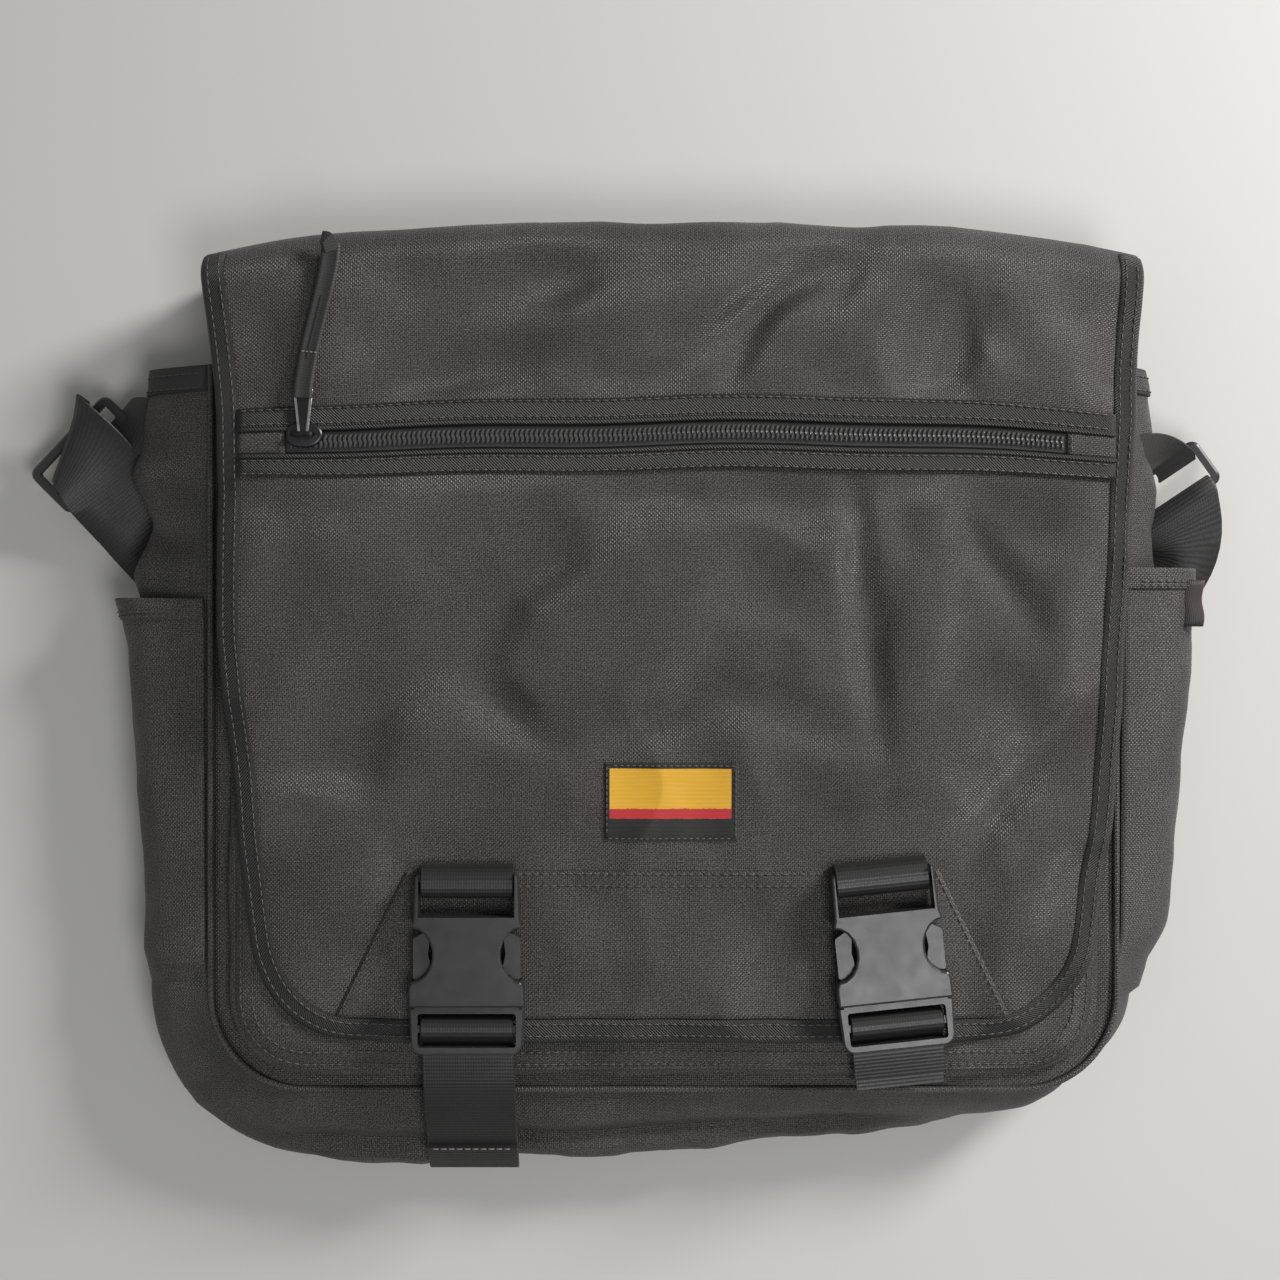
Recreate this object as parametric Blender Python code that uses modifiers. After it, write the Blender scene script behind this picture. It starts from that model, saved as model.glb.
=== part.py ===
"""A black canvas messenger bag with a flap, a zip and two side-release buckles, lying on its back.

Lengths are in metres. +X is the bag's width, +Y points to the fold at the top of the flap and +Z up from
the surface that the back panel rests on (Z = 0). X = 0 and Y = 0 are the middle of the bag's body.
"""

import math

import bmesh
import bpy
from mathutils import Matrix, Vector

# General allowances
GAP = 0.0003  # left between two solids that touch
CANVAS = 0.0012  # one layer of canvas with its coating
TAPE = 0.0010  # binding tape and thin trim
WEBBING = 0.0013  # woven nylon webbing

# Body: a padded back, a front, and a gusset that bulges out between them
BODY_HALF_WIDTH = 0.192
BODY_BOTTOM = -0.1698
BODY_CORNER = 0.040
BACK_TOP = 0.1955
BACK_THICK = 0.010
MOUTH = 0.138  # where the gussets and the front end below the flap
FRONT_LEVEL = 0.0440
GUSSET_LOW = 0.0046
GUSSET_HIGH = 0.0452
GUSSET_BULGE = 0.0272
GUSSET_SIDE_BULGE = 0.0290
GUSSET_SEAM = -0.100  # height of the seam between a side gusset and the bottom
MOUTH_BAND = 0.0107

# Front pocket on bellows
POCKET_HALF_WIDTH = 0.180
POCKET_BOTTOM = -0.160
POCKET_TOP = 0.100
POCKET_CORNER = 0.030
POCKET_LEVEL = 0.0543
POCKET_PLEAT = 0.0040

# Side pockets, each standing off its gusset
SIDE_POCKET_TOP = 0.038
SIDE_POCKET_BOTTOM = -0.097
SIDE_POCKET_ROOM = 0.0078
HEM_WIDTH = 0.0075

# Flap: a roof over the top edge, then two outer panels with a zip between them, over a lining
FLAP_CENTRE = 0.003
FLAP_TOP = 0.1965
FLAP_BOTTOM = -0.147
FLAP_TOP_HALF = 0.197
FLAP_MIDDLE_HALF = 0.1915
FLAP_LOW_HALF = 0.1775
FLAP_CORNER = 0.048
LINING_LEVEL = 0.0568
PANEL_LEVEL = 0.0582
TRIM_LEVEL = 0.0597
BINDING_WIDTH = 0.0095
ROOF_Y = 0.1979
ROOF_LOW = 0.0034
ROOF_HIGH = 0.0572
BACK_FOLD_Z = 0.0030
FRONT_FOLD_Z = 0.0582

# Zip across the flap
ZIP_Y = 0.1063
ZIP_LEFT = -0.158
ZIP_RIGHT = 0.168
ZIP_TAPE_HALF = 0.0058
COIL_HALF = 0.0030
ZIP_TRIM_LEFT = -0.175
ZIP_TRIM_RIGHT = 0.186
ZIP_TRIM_WIDTH = 0.0075
SLIDER_X = -0.1500
PULL_AXIS_Z = 0.0638

# Side-release buckles for 38 mm webbing
STRAP_WIDTH = 0.0390
BUCKLE_LEVEL = 0.0614
BUCKLE_HALF = 0.0238
BUCKLE_NECK = 0.0218
BUCKLE_TOP = 0.0375
BUCKLE_MOUTH = -0.0176
BUCKLE_HIGH = 0.0104
MALE_BOTTOM = -0.0375
ARM_PIVOT = (0.0165, -0.0075)
BUCKLES = {
    "left": {"place": (-0.0815, -0.1130), "turn": 0.0, "tail": -0.0835},
    "right": {"place": (0.0936, -0.1110), "turn": 6.0, "tail": -0.0500},
}

# Shoulder strap
SHOULDER_WIDTH = 0.040
SHOULDER_THICK = 0.0016

# Its unseen length lies in three passes below the back, in a recess of the padding
HANK_THICK = 0.0055
HANK_LOW = GAP
HANK = [(0.172, 0.028), (0.172, -0.083), (0.120, -0.090), (-0.172, -0.124), (-0.172, 0.052), (0.010, 0.006)]

COLOURS = {
    "canvas": (0.045, 0.043, 0.042),
    "binding": (0.022, 0.021, 0.021),
    "webbing": (0.020, 0.020, 0.021),
    "buckle_plastic": (0.035, 0.035, 0.036),
    "zip_coil": (0.010, 0.010, 0.010),
    "zip_metal": (0.060, 0.060, 0.062),
    "patch": (0.500, 0.250, 0.020),
    "label": (0.200, 0.020, 0.030),
}
FINISHES = {"buckle_plastic": (0.45, 0.0), "zip_coil": (0.35, 0.0), "zip_metal": (0.35, 1.0)}
CLOTH_FINISH = (0.85, 0.0)


def clear_scene():
    for obj in list(bpy.data.objects):
        bpy.data.objects.remove(obj, do_unlink=True)


def collection(name):
    made = bpy.data.collections.new(name)
    bpy.context.scene.collection.children.link(made)
    return made


def material(name, kind):
    made = bpy.data.materials.new(name)
    made.use_nodes = True
    shader = made.node_tree.nodes["Principled BSDF"]
    roughness, metallic = FINISHES.get(kind, CLOTH_FINISH)
    shader.inputs["Base Color"].default_value = (*COLOURS[kind], 1.0)
    shader.inputs["Roughness"].default_value = roughness
    shader.inputs["Metallic"].default_value = metallic
    return made


def axis(name, place, turn=(0.0, 0.0, 0.0), parent=None):
    """An empty that stands on a joint's axis, or that holds a buckle's own frame."""
    empty = bpy.data.objects.new(name, None)
    PARTS.objects.link(empty)
    empty.rotation_euler = [math.radians(a) for a in turn]
    empty.location = place
    if parent:
        empty.parent = parent
        empty.matrix_parent_inverse = world(parent).inverted()
    return empty


def world(obj):
    bpy.context.view_layer.update()
    return obj.matrix_world.copy()


def add(name, mesh, kind, parent=None, local=False):
    """Puts a mesh in the collection as a part. A local mesh is in its parent's frame."""
    obj = bpy.data.objects.new(name, mesh)
    PARTS.objects.link(obj)
    mesh.materials.clear()
    mesh.materials.append(material(name, kind))
    if parent:
        obj.parent = parent
        if not local:
            obj.matrix_parent_inverse = world(parent).inverted()
    return obj


def rounded(corners):
    """An outline through (x, y, radius) corners, with an arc at each corner that has a radius."""
    points = []
    for i, (x, y, radius) in enumerate(corners):
        here = Vector((x, y))
        if not radius:
            points.append(here)
            continue
        before = (Vector(corners[i - 1][:2]) - here).normalized()
        after = (Vector(corners[(i + 1) % len(corners)][:2]) - here).normalized()
        half = before.angle(after) / 2
        middle = here + (before + after).normalized() * radius / math.sin(half)
        start = here + before * radius / math.tan(half) - middle
        sweep = start.angle_signed(here + after * radius / math.tan(half) - middle)
        steps = max(2, round(abs(sweep) / math.radians(18)))
        points += [middle + Matrix.Rotation(-sweep * k / steps, 2) @ start for k in range(steps + 1)]
    return points


def mirrored(half):
    """A closed outline from its right half, given from top to bottom."""
    return half + [(-x, *rest) for x, *rest in reversed(half)]


def flat_mesh(name, outline, low, high):
    """The solid between two levels that a flat outline encloses."""
    curve = bpy.data.curves.new(name, "CURVE")
    curve.dimensions = "2D"
    curve.fill_mode = "BOTH"
    curve.extrude = (high - low) / 2
    spline = curve.splines.new("POLY")
    spline.points.add(len(outline) - 1)
    for point, place in zip(spline.points, outline):
        point.co = (place[0], place[1], 0.0, 1.0)
    spline.use_cyclic_u = True
    guide = bpy.data.objects.new(name, curve)
    bpy.context.scene.collection.objects.link(guide)
    bpy.context.view_layer.update()
    mesh = bpy.data.meshes.new_from_object(guide.evaluated_get(bpy.context.evaluated_depsgraph_get()))
    bpy.data.objects.remove(guide, do_unlink=True)
    bpy.data.curves.remove(curve)
    shape = bmesh.new()
    shape.from_mesh(mesh)
    bmesh.ops.remove_doubles(shape, verts=shape.verts, dist=1e-6)
    bmesh.ops.dissolve_limit(shape, angle_limit=0.01, verts=shape.verts, edges=shape.edges)
    bmesh.ops.translate(shape, verts=shape.verts, vec=(0, 0, (low + high) / 2))
    bmesh.ops.recalc_face_normals(shape, faces=shape.faces)
    shape.to_mesh(mesh)
    shape.free()
    return mesh


def plate(name, outline, low, thick, kind, parent=None, local=False):
    return add(name, flat_mesh(name, outline, low, low + thick), kind, parent, local)


def sheet(name, point, columns, rows, thick, kind, parent=None, local=False):
    """A curved sheet: point(u, v) gives its middle surface for u and v from 0 to 1."""
    shape = bmesh.new()
    bmesh.ops.create_grid(shape, x_segments=columns, y_segments=rows, size=0.5)
    for vert in shape.verts:
        vert.co = point(vert.co.x + 0.5, vert.co.y + 0.5)
    mesh = bpy.data.meshes.new(name)
    shape.to_mesh(mesh)
    shape.free()
    obj = add(name, mesh, kind, parent, local)
    solid = obj.modifiers.new("Thickness", "SOLIDIFY")
    solid.thickness = thick
    solid.offset = 0
    solid.use_even_offset = True
    mesh.shade_smooth()
    mesh.set_sharp_from_angle(angle=math.radians(40))
    return obj


def ribbon(name, route, across, width, thick, kind, parent=None, local=False):
    """A strip of webbing: route is its middle line and across the direction of its width."""
    half = Vector(across).normalized() * width / 2
    places = [Vector(p) for p in route]

    def point(u, v):
        return places[round(v * (len(places) - 1))] + half * (2 * u - 1)

    return sheet(name, point, 1, len(places) - 1, thick, kind, parent, local)


def cut(obj, outline, low, high, operation="DIFFERENCE"):
    """Cuts from obj the solid between two levels that an outline in obj's own frame encloses."""
    cutter = bpy.data.objects.new(obj.name + "_cutter", flat_mesh(obj.name, outline, low, high))
    CUTTERS.objects.link(cutter)
    cutter.parent = obj.parent
    cutter.matrix_parent_inverse = obj.matrix_parent_inverse.copy()
    cutter.hide_render = True
    cutter.display_type = "WIRE"
    boolean = obj.modifiers.new("Cut", "BOOLEAN")
    boolean.operation = operation
    boolean.solver = "EXACT"
    boolean.object = cutter
    return obj


def bevel(obj, width, segments=1):
    rounding = obj.modifiers.new("Rounding", "BEVEL")
    rounding.width = width
    rounding.segments = segments
    rounding.limit_method = "ANGLE"
    rounding.angle_limit = math.radians(50)
    return obj


def box_outline(left, right, low, high, radius=0.0):
    return rounded([(right, high, radius), (right, low, radius), (left, low, radius), (left, high, radius)])


def along_u(distance, half_width, bottom, corner, top):
    """The place and the outward direction at a distance along a U: down the left side and up the right."""
    side = top - bottom - corner
    arc = corner * math.pi / 2
    floor = 2 * (half_width - corner)
    if distance <= side:
        return Vector((-half_width, top - distance)), Vector((-1, 0))
    if distance <= side + arc:
        turn = (distance - side) / corner
        out = Vector((-math.cos(turn), -math.sin(turn)))
        return Vector((corner - half_width, bottom + corner)) + corner * out, out
    if distance <= side + arc + floor:
        return Vector((corner - half_width + distance - side - arc, bottom)), Vector((0, -1))
    place, out = along_u(2 * (side + arc) + floor - distance, half_width, bottom, corner, top)
    return Vector((-place.x, place.y)), Vector((-out.x, out.y))


def u_length(half_width, bottom, corner, top):
    return 2 * (top - bottom - corner) + corner * math.pi + 2 * (half_width - corner)


def u_stations(start, end, half_width, bottom, corner, top):
    """The distances along a U at which a sheet gets its columns: every 18 degrees of a corner, like outlines."""
    side = top - bottom - corner
    whole = u_length(half_width, bottom, corner, top)
    turns = [side + corner * math.radians(18 * k) for k in range(6)]
    places = [start, end, whole / 2] + turns + [whole - t for t in turns]
    return sorted(d for d in set(places) if start <= d <= end)


BODY_U = (BODY_HALF_WIDTH, BODY_BOTTOM, BODY_CORNER, MOUTH)
POCKET_U = (POCKET_HALF_WIDTH, POCKET_BOTTOM, POCKET_CORNER, POCKET_TOP)


def gusset_point(distance, v, more=0.0):
    """A point over the gusset's middle surface by more: v runs from the back seam to the front seam."""
    place, out = along_u(distance, *BODY_U)
    bulge = GUSSET_BULGE + (GUSSET_SIDE_BULGE - GUSSET_BULGE) * abs(out.x)
    rise = GUSSET_HIGH - GUSSET_LOW
    slope = bulge * math.pi * math.cos(math.pi * v)
    away = more / math.hypot(rise, slope)
    reach = CANVAS / 2 + GAP + bulge * math.sin(math.pi * v) + away * rise
    return Vector((*(place + out * reach), GUSSET_LOW + rise * v - away * slope))


def make_body():
    side = [(BODY_HALF_WIDTH, BACK_TOP, 0.010), (BODY_HALF_WIDTH, BODY_BOTTOM, BODY_CORNER)]
    back = plate("back_panel", rounded(mirrored(side)), 0.0, BACK_THICK, "canvas")
    cut(back, strap_recess(), -0.001, HANK_THICK + 3 * GAP)
    front = [(BODY_HALF_WIDTH, MOUTH, 0.0), (BODY_HALF_WIDTH, BODY_BOTTOM, BODY_CORNER)]
    plate("front_panel", rounded(mirrored(front)), FRONT_LEVEL, CANVAS, "canvas")
    seam = MOUTH - GUSSET_SEAM
    whole = u_length(*BODY_U)
    stretches = {
        "gusset_left": (0.0, seam),
        "bottom_panel": (seam + CANVAS / 2, whole - seam - CANVAS / 2),
        "gusset_right": (whole - seam, whole),
    }
    for name, ends in stretches.items():
        places = u_stations(*ends, *BODY_U)
        last = len(places) - 1
        sheet(name, lambda u, v: gusset_point(places[round(u * last)], v), last, 10, CANVAS, "canvas")
    over = CANVAS / 2 + TAPE / 2 + 2 * GAP
    for name, start in (("mouth_binding_left", 0.0), ("mouth_binding_right", whole - MOUTH_BAND)):
        sheet(
            name,
            lambda u, v: gusset_point(start + MOUTH_BAND * u, 0.04 + 0.92 * v, over),
            1,
            10,
            TAPE,
            "binding",
        )


def make_front_pocket():
    face = [(POCKET_HALF_WIDTH, POCKET_TOP, 0.0), (POCKET_HALF_WIDTH, POCKET_BOTTOM, POCKET_CORNER)]
    plate("front_pocket_face", rounded(mirrored(face)), POCKET_LEVEL, CANVAS, "canvas")
    low = FRONT_LEVEL + CANVAS + GAP + TAPE / 2
    high = POCKET_LEVEL - GAP - TAPE / 2

    places = u_stations(0.0, u_length(*POCKET_U), *POCKET_U)
    last = len(places) - 1

    def bellows(u, v):
        place, out = along_u(places[round(u * last)], *POCKET_U)
        return Vector((*(place + out * (POCKET_PLEAT * math.sin(math.pi * v) - TAPE)), low + (high - low) * v))

    sheet("front_pocket_bellows", bellows, last, 4, TAPE, "canvas")
    hem = [(POCKET_HALF_WIDTH, POCKET_TOP - HEM_WIDTH, 0.0), (POCKET_HALF_WIDTH, POCKET_TOP, 0.0)]
    top = POCKET_LEVEL + CANVAS + GAP
    plate("front_pocket_hem", rounded(mirrored(hem)), top, TAPE / 2, "binding")


def make_side_pockets():
    start = MOUTH - SIDE_POCKET_TOP
    end = MOUTH - SIDE_POCKET_BOTTOM
    clear = CANVAS + 2 * GAP

    def pocket(u, v, more=0.0):
        distance = start + (end - start) * u
        room = SIDE_POCKET_ROOM * math.sin(math.pi * v) * (1 - u) ** 0.6
        return gusset_point(distance, 0.06 + 0.88 * v, clear + room + more)

    hem = HEM_WIDTH / (end - start)
    over = CANVAS / 2 + TAPE / 2 + 2 * GAP

    def face(u, v):
        return pocket(u, v)

    def edge(u, v):
        return pocket(hem * u, 0.03 + 0.94 * v, over)

    for side, sign in (("left", 1), ("right", -1)):

        def facing(place):
            return Vector((place.x * sign, place.y, place.z))

        sheet("side_pocket_" + side, lambda u, v: facing(face(u, v)), 6, 10, CANVAS, "canvas")
        sheet("side_pocket_hem_" + side, lambda u, v: facing(edge(u, v)), 1, 10, TAPE, "binding")
    tab = box_outline(0.2236, 0.2320, 0.012, 0.029)
    plate("pocket_label_tab", tab, 0.0385, 0.0014, "label")


def flap_half(inset=0.0, bottom=FLAP_BOTTOM):
    """The flap's right side from its top to the bottom corner, as rounded() takes it."""
    slope = (FLAP_MIDDLE_HALF - FLAP_LOW_HALF) / 0.108
    return [
        (FLAP_TOP_HALF - inset, FLAP_TOP, 0.0),
        (FLAP_MIDDLE_HALF - inset, 0.020, 0.0),
        (FLAP_LOW_HALF - inset - slope * (-0.088 - bottom) * 0.6, bottom + inset, FLAP_CORNER - inset),
    ]


def shifted(outline, dx=FLAP_CENTRE):
    return [(x + dx, y) for x, y in outline]


def notch_outline(side):
    """The space that a closed buckle half takes in the flap's plane, in which it passes when the flap lifts."""
    place = BUCKLES[side]["place"]
    turn = Matrix.Rotation(math.radians(BUCKLES[side]["turn"]), 2)
    half, top, low = 0.0270, 0.0190, -0.0500
    corners = [(half, top), (half, low), (-half, low), (-half, top)]
    return [turn @ Vector(c) + Vector(place) for c in corners]


def notched(obj, low, high):
    for side in BUCKLES:
        cut(obj, notch_outline(side), low - 0.001, high + 0.001)
    return obj


def clipped(outline, low, high):
    """The part of a flap outline between two heights, both level cuts."""
    cuts = []
    for i, here in enumerate(outline):
        there = outline[(i + 1) % len(outline)]
        if low <= here[1] <= high:
            cuts.append(Vector(here[:2]))
        for level in sorted((low, high), reverse=there[1] < here[1]):
            if (here[1] - level) * (there[1] - level) < 0:
                share = (level - here[1]) / (there[1] - here[1])
                cuts.append(Vector((here[0] + (there[0] - here[0]) * share, level)))
    return cuts


def make_flap(roof, flap):
    def roof_point(u, v):
        half = FLAP_TOP_HALF - 0.003 * (1 - v)
        return Vector((FLAP_CENTRE + half * (2 * u - 1), ROOF_Y, ROOF_LOW + (ROOF_HIGH - ROOF_LOW) * v))

    sheet("flap_roof", roof_point, 1, 1, CANVAS, "canvas", roof)
    outline = shifted(rounded(mirrored(flap_half())))
    inner = shifted(rounded(mirrored(flap_half(0.001))))
    lining = plate("flap_lining", inner, LINING_LEVEL, TAPE, "canvas", flap)
    notched(lining, LINING_LEVEL, LINING_LEVEL + TAPE)
    upper = clipped(outline, ZIP_Y + ZIP_TAPE_HALF + GAP, FLAP_TOP)
    plate("flap_upper_panel", upper, PANEL_LEVEL, CANVAS, "canvas", flap)
    lower = clipped(outline, FLAP_BOTTOM - 0.01, ZIP_Y - ZIP_TAPE_HALF - GAP)
    main = plate("flap_main_panel", lower, PANEL_LEVEL, CANVAS, "canvas", flap)
    notched(main, PANEL_LEVEL, PANEL_LEVEL + CANVAS)
    inner_low = FLAP_BOTTOM + BINDING_WIDTH + 0.0022
    guard = [(-0.108, -0.0754), (0.115, -0.0754), (0.1430, inner_low), (-0.1365, inner_low)]
    guard_panel = plate("flap_lower_panel", guard, TRIM_LEVEL, TAPE, "canvas", flap)
    notched(guard_panel, TRIM_LEVEL, TRIM_LEVEL + TAPE)
    patch = box_outline(-0.025, 0.031, -0.0633, -0.0307, 0.0015)
    plate("woven_patch", patch, TRIM_LEVEL, TAPE * 0.8, "patch", flap)
    make_binding(flap)


def make_binding(flap):
    """The tape around the flap's edge, in three lengths that meet at the buckles."""
    outer = [p for p in rounded(mirrored(flap_half())) if p.x > 0]
    inner = [p for p in rounded(mirrored(flap_half(BINDING_WIDTH))) if p.x > 0]
    edges = {"left": -0.110 - FLAP_CENTRE, "right": 0.1165 - FLAP_CENTRE}
    for side, sign in (("left", -1), ("right", 1)):
        end = abs(edges[side])
        low_outer = Vector((end, FLAP_BOTTOM))
        low_inner = Vector((end, FLAP_BOTTOM + BINDING_WIDTH))
        strip = [*outer, low_outer, low_inner, *reversed(inner)]
        placed = [(FLAP_CENTRE + sign * p.x, p.y) for p in strip]
        plate("flap_binding_" + side, placed, TRIM_LEVEL, TAPE, "binding", flap)
    middle = box_outline(-0.0535, 0.0600, FLAP_BOTTOM, FLAP_BOTTOM + BINDING_WIDTH)
    plate("flap_binding_bottom", middle, TRIM_LEVEL, TAPE, "binding", flap)


def make_zip(flap, slider_axis, pull_axis):
    tape = box_outline(ZIP_LEFT - 0.016, ZIP_RIGHT + 0.016, ZIP_Y - ZIP_TAPE_HALF, ZIP_Y + ZIP_TAPE_HALF)
    chain = plate("zip_chain", tape, PANEL_LEVEL, 0.0011, "zip_coil", flap)
    coil = box_outline(ZIP_LEFT, ZIP_RIGHT, ZIP_Y - COIL_HALF, ZIP_Y + COIL_HALF)
    cut(chain, coil, PANEL_LEVEL + 0.0005, PANEL_LEVEL + 0.0026, "UNION")
    inside = ZIP_TAPE_HALF + GAP
    for name, low in (("upper", ZIP_Y + inside), ("lower", ZIP_Y - inside - ZIP_TRIM_WIDTH)):
        strip = box_outline(ZIP_TRIM_LEFT, ZIP_TRIM_RIGHT, low, low + ZIP_TRIM_WIDTH)
        plate("zip_binding_" + name, strip, TRIM_LEVEL, TAPE, "binding", flap)
    ends = {"left": (ZIP_TRIM_LEFT, ZIP_LEFT - GAP), "right": (ZIP_RIGHT + GAP, ZIP_TRIM_RIGHT)}
    for side, (left, right) in ends.items():
        tab = box_outline(left, right, ZIP_Y - ZIP_TAPE_HALF, ZIP_Y + ZIP_TAPE_HALF)
        plate("zip_end_tab_" + side, tab, TRIM_LEVEL, TAPE, "canvas", flap)
    make_slider(slider_axis, pull_axis)


def make_slider(slider_axis, pull_axis):
    """The slider in its own frame: +X is the way it opens the zip, Z = 0 the top of the coil."""
    nose, tail, half = -0.0075, 0.0070, 0.0048
    shape = [(tail, half * 0.75, 0.0012), (tail, -half * 0.75, 0.0012), (nose, -half, 0.002), (nose, half, 0.002)]
    body = plate("zip_slider", rounded(shape), -0.0010, 0.0028, "zip_metal", slider_axis, True)
    groove = box_outline(nose - 0.002, tail + 0.002, -COIL_HALF - GAP, COIL_HALF + GAP)
    cut(body, groove, -0.002, GAP)
    for place in (-0.0042, 0.0026):
        lug = box_outline(place, place + 0.0016, -0.0012, 0.0012)
        cut(body, lug, 0.0012, 0.0042, "UNION")
    tab = [(0.0021, -0.0008, 0.0004), (-0.0021, -0.0008, 0.0004), (-0.0038, 0.0190, 0.0010), (0.0038, 0.0190, 0.0010)]
    pull = plate("zip_pull_tab", rounded(tab), -0.0005, 0.0010, "zip_metal", pull_axis, True)
    cut(pull, box_outline(-0.0028, 0.0028, 0.0145, 0.0175), -0.002, 0.002)
    low = PANEL_LEVEL + CANVAS + 4 * GAP + TAPE - PULL_AXIS_Z
    route = [(0.0005, 0.0160, 0.0012), (0.0010, 0.0200, 0.0012), (0.0030, 0.0250, low + 0.0006)]
    route += [(0.0030 + 0.0100 * k / 4, 0.0250 + 0.0600 * k / 4, low) for k in range(1, 5)]
    ribbon("zip_pull_ribbon", route, (1, 0, 0), 0.0080, 0.0007, "webbing", pull_axis, True)


def female_outline():
    """Half the socket's outline: a narrow neck, a finger recess and a wide mouth."""
    recess_top, recess_low, depth, steps = 0.0150, -0.0070, 0.0088, 9
    middle = (recess_top + recess_low) / 2
    half = (recess_top - recess_low) / 2
    edge = (BUCKLE_NECK + BUCKLE_HALF) / 2
    recess = []
    for k in range(steps + 1):
        swing = math.pi * k / steps
        recess.append((edge - depth * math.sin(swing), middle + half * math.cos(swing), 0.0))
    top = [(BUCKLE_NECK - 0.0006, BUCKLE_TOP, 0.0025), (BUCKLE_NECK, recess_top + 0.0035, 0.0)]
    mouth = [(BUCKLE_HALF, recess_low - 0.0030, 0.0), (BUCKLE_HALF, BUCKLE_MOUTH, 0.0)]
    return rounded(mirrored(top + recess + mouth))


def male_outline():
    inside, shoulder = 0.0222, -0.0179
    half = [
        (inside, -0.0085, 0.0015),
        (inside, shoulder, 0.0),
        (BUCKLE_HALF, shoulder, 0.0),
        (BUCKLE_HALF - 0.0008, MALE_BOTTOM, 0.0050),
    ]
    return rounded(mirrored(half))


def make_buckle(side, frame, latch):
    female = plate(f"buckle_female_{side}", female_outline(), 0.0004, BUCKLE_HIGH, "buckle_plastic", frame, True)
    bevel(female, 0.0010, 2)
    cut(female, box_outline(-0.0227, 0.0227, BUCKLE_MOUTH - 0.002, 0.0140, 0.0), -0.002, 0.0082)
    cut(female, box_outline(-0.0199, 0.0199, 0.0195, 0.0335), -0.002, 0.014)
    cut(female, box_outline(-0.0199, 0.0199, 0.0335, 0.0390), 0.0057, 0.014)
    cut(female, box_outline(-0.0199, 0.0199, 0.0364, 0.0390), -0.002, 0.014)
    cut(female, box_outline(-0.0199, 0.0199, 0.0335, 0.0390), -0.002, 0.0024)
    loop = [(0.0402, 0.0031), (0.0388, 0.0052), (0.0368, 0.0073), (0.0340, 0.0076), (0.0318, 0.0062)]
    loop += [(0.0311, 0.0040), (0.0320, 0.0018), (0.0345, 0.0011), (0.0402, 0.0011)]
    route = [(0.0, y, z) for y, z in loop]
    ribbon(f"buckle_loop_{side}", route, (1, 0, 0), STRAP_WIDTH, WEBBING, "webbing", frame, True)

    male = plate(f"buckle_male_{side}", male_outline(), 0.0014, 0.0068, "buckle_plastic", latch, True)
    bevel(male, 0.0008, 1)
    cut(male, box_outline(-0.0203, 0.0203, -0.0345, -0.0205, 0.0012), -0.002, 0.014)
    cut(male, box_outline(-0.0203, 0.0203, -0.0390, -0.0340), -0.002, 0.0021)
    cut(male, box_outline(-0.0208, 0.0208, -0.0288, -0.0258), 0.0036, 0.0062, "UNION")
    cut(male, box_outline(-0.0036, 0.0036, -0.0100, 0.0100, 0.0010), 0.0026, 0.0066, "UNION")
    roll = [(-0.0226, 0.0016), (-0.0236, 0.0042), (-0.0250, 0.0068), (-0.0273, 0.0074), (-0.0296, 0.0066)]
    roll += [(-0.0310, 0.0040), (-0.0322, 0.0018), (-0.0345, 0.0011)]
    last = BUCKLES[side]["tail"]
    roll += [(-0.0345 + (last + 0.0345) * k / 3, 0.0011) for k in range(1, 4)]
    route = [(0.0, y, z) for y, z in roll]
    ribbon(f"latch_tail_{side}", route, (1, 0, 0), STRAP_WIDTH, WEBBING, "webbing", latch, True)
    for name, sign in (("inner", 1 if side == "left" else -1), ("outer", -1 if side == "left" else 1)):
        make_arm(side, name, sign, latch)


def make_arm(side, name, sign, latch):
    """A springing arm of the buckle's plug, with the pad that a finger presses."""
    pivot = axis(f"latch_arm_{side}_{name}_axis", (0, 0, 0))
    pivot.parent = latch
    pivot.matrix_parent_inverse = Matrix()
    pivot.location = (sign * ARM_PIVOT[0], ARM_PIVOT[1], 0)
    pad_outer, tip = 0.0222, 0.0128
    half = [
        (0.0205, -0.0080, 0.0),
        (pad_outer, -0.0055, 0.0010),
        (pad_outer, 0.0105, 0.0020),
        (0.0180, tip, 0.0010),
        (0.0150, tip, 0.0010),
        (0.0160, 0.0040, 0.0),
        (0.0135, -0.0080, 0.0),
    ]
    outline = [(sign * p[0] - sign * ARM_PIVOT[0], p[1] - ARM_PIVOT[1]) for p in rounded(half)]
    plate(f"latch_arm_{side}_{name}", outline, 0.0022, 0.0055, "buckle_plastic", pivot, True)


def make_anchor(side, frame):
    """The webbing that holds a buckle's plug to the bag's front."""
    route = [(-0.0535, -0.0046), (-0.0480, -0.0040), (-0.0420, -0.0014), (-0.0330, -0.0011), (-0.0235, -0.0011)]
    points = [(0.0, y, z) for y, z in route]
    ribbon(f"latch_anchor_{side}", points, (1, 0, 0), STRAP_WIDTH - 0.001, WEBBING, "webbing", frame, True)


def strap_recess():
    """The hank's outline with room all round, carried on to both sides where the strap leaves."""
    ease, side = 0.002, BODY_HALF_WIDTH + 0.010
    return [
        (side, 0.050),
        (side, -0.020),
        (0.172 + ease, -0.040),
        (0.172 + ease, -0.085),
        (0.120, -0.093),
        (-0.172 - ease, -0.127),
        (-0.172 - ease, -0.010),
        (-side, -0.010),
        (-side, 0.075),
        (-0.172, 0.060),
        (0.010, 0.010),
    ]


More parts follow.
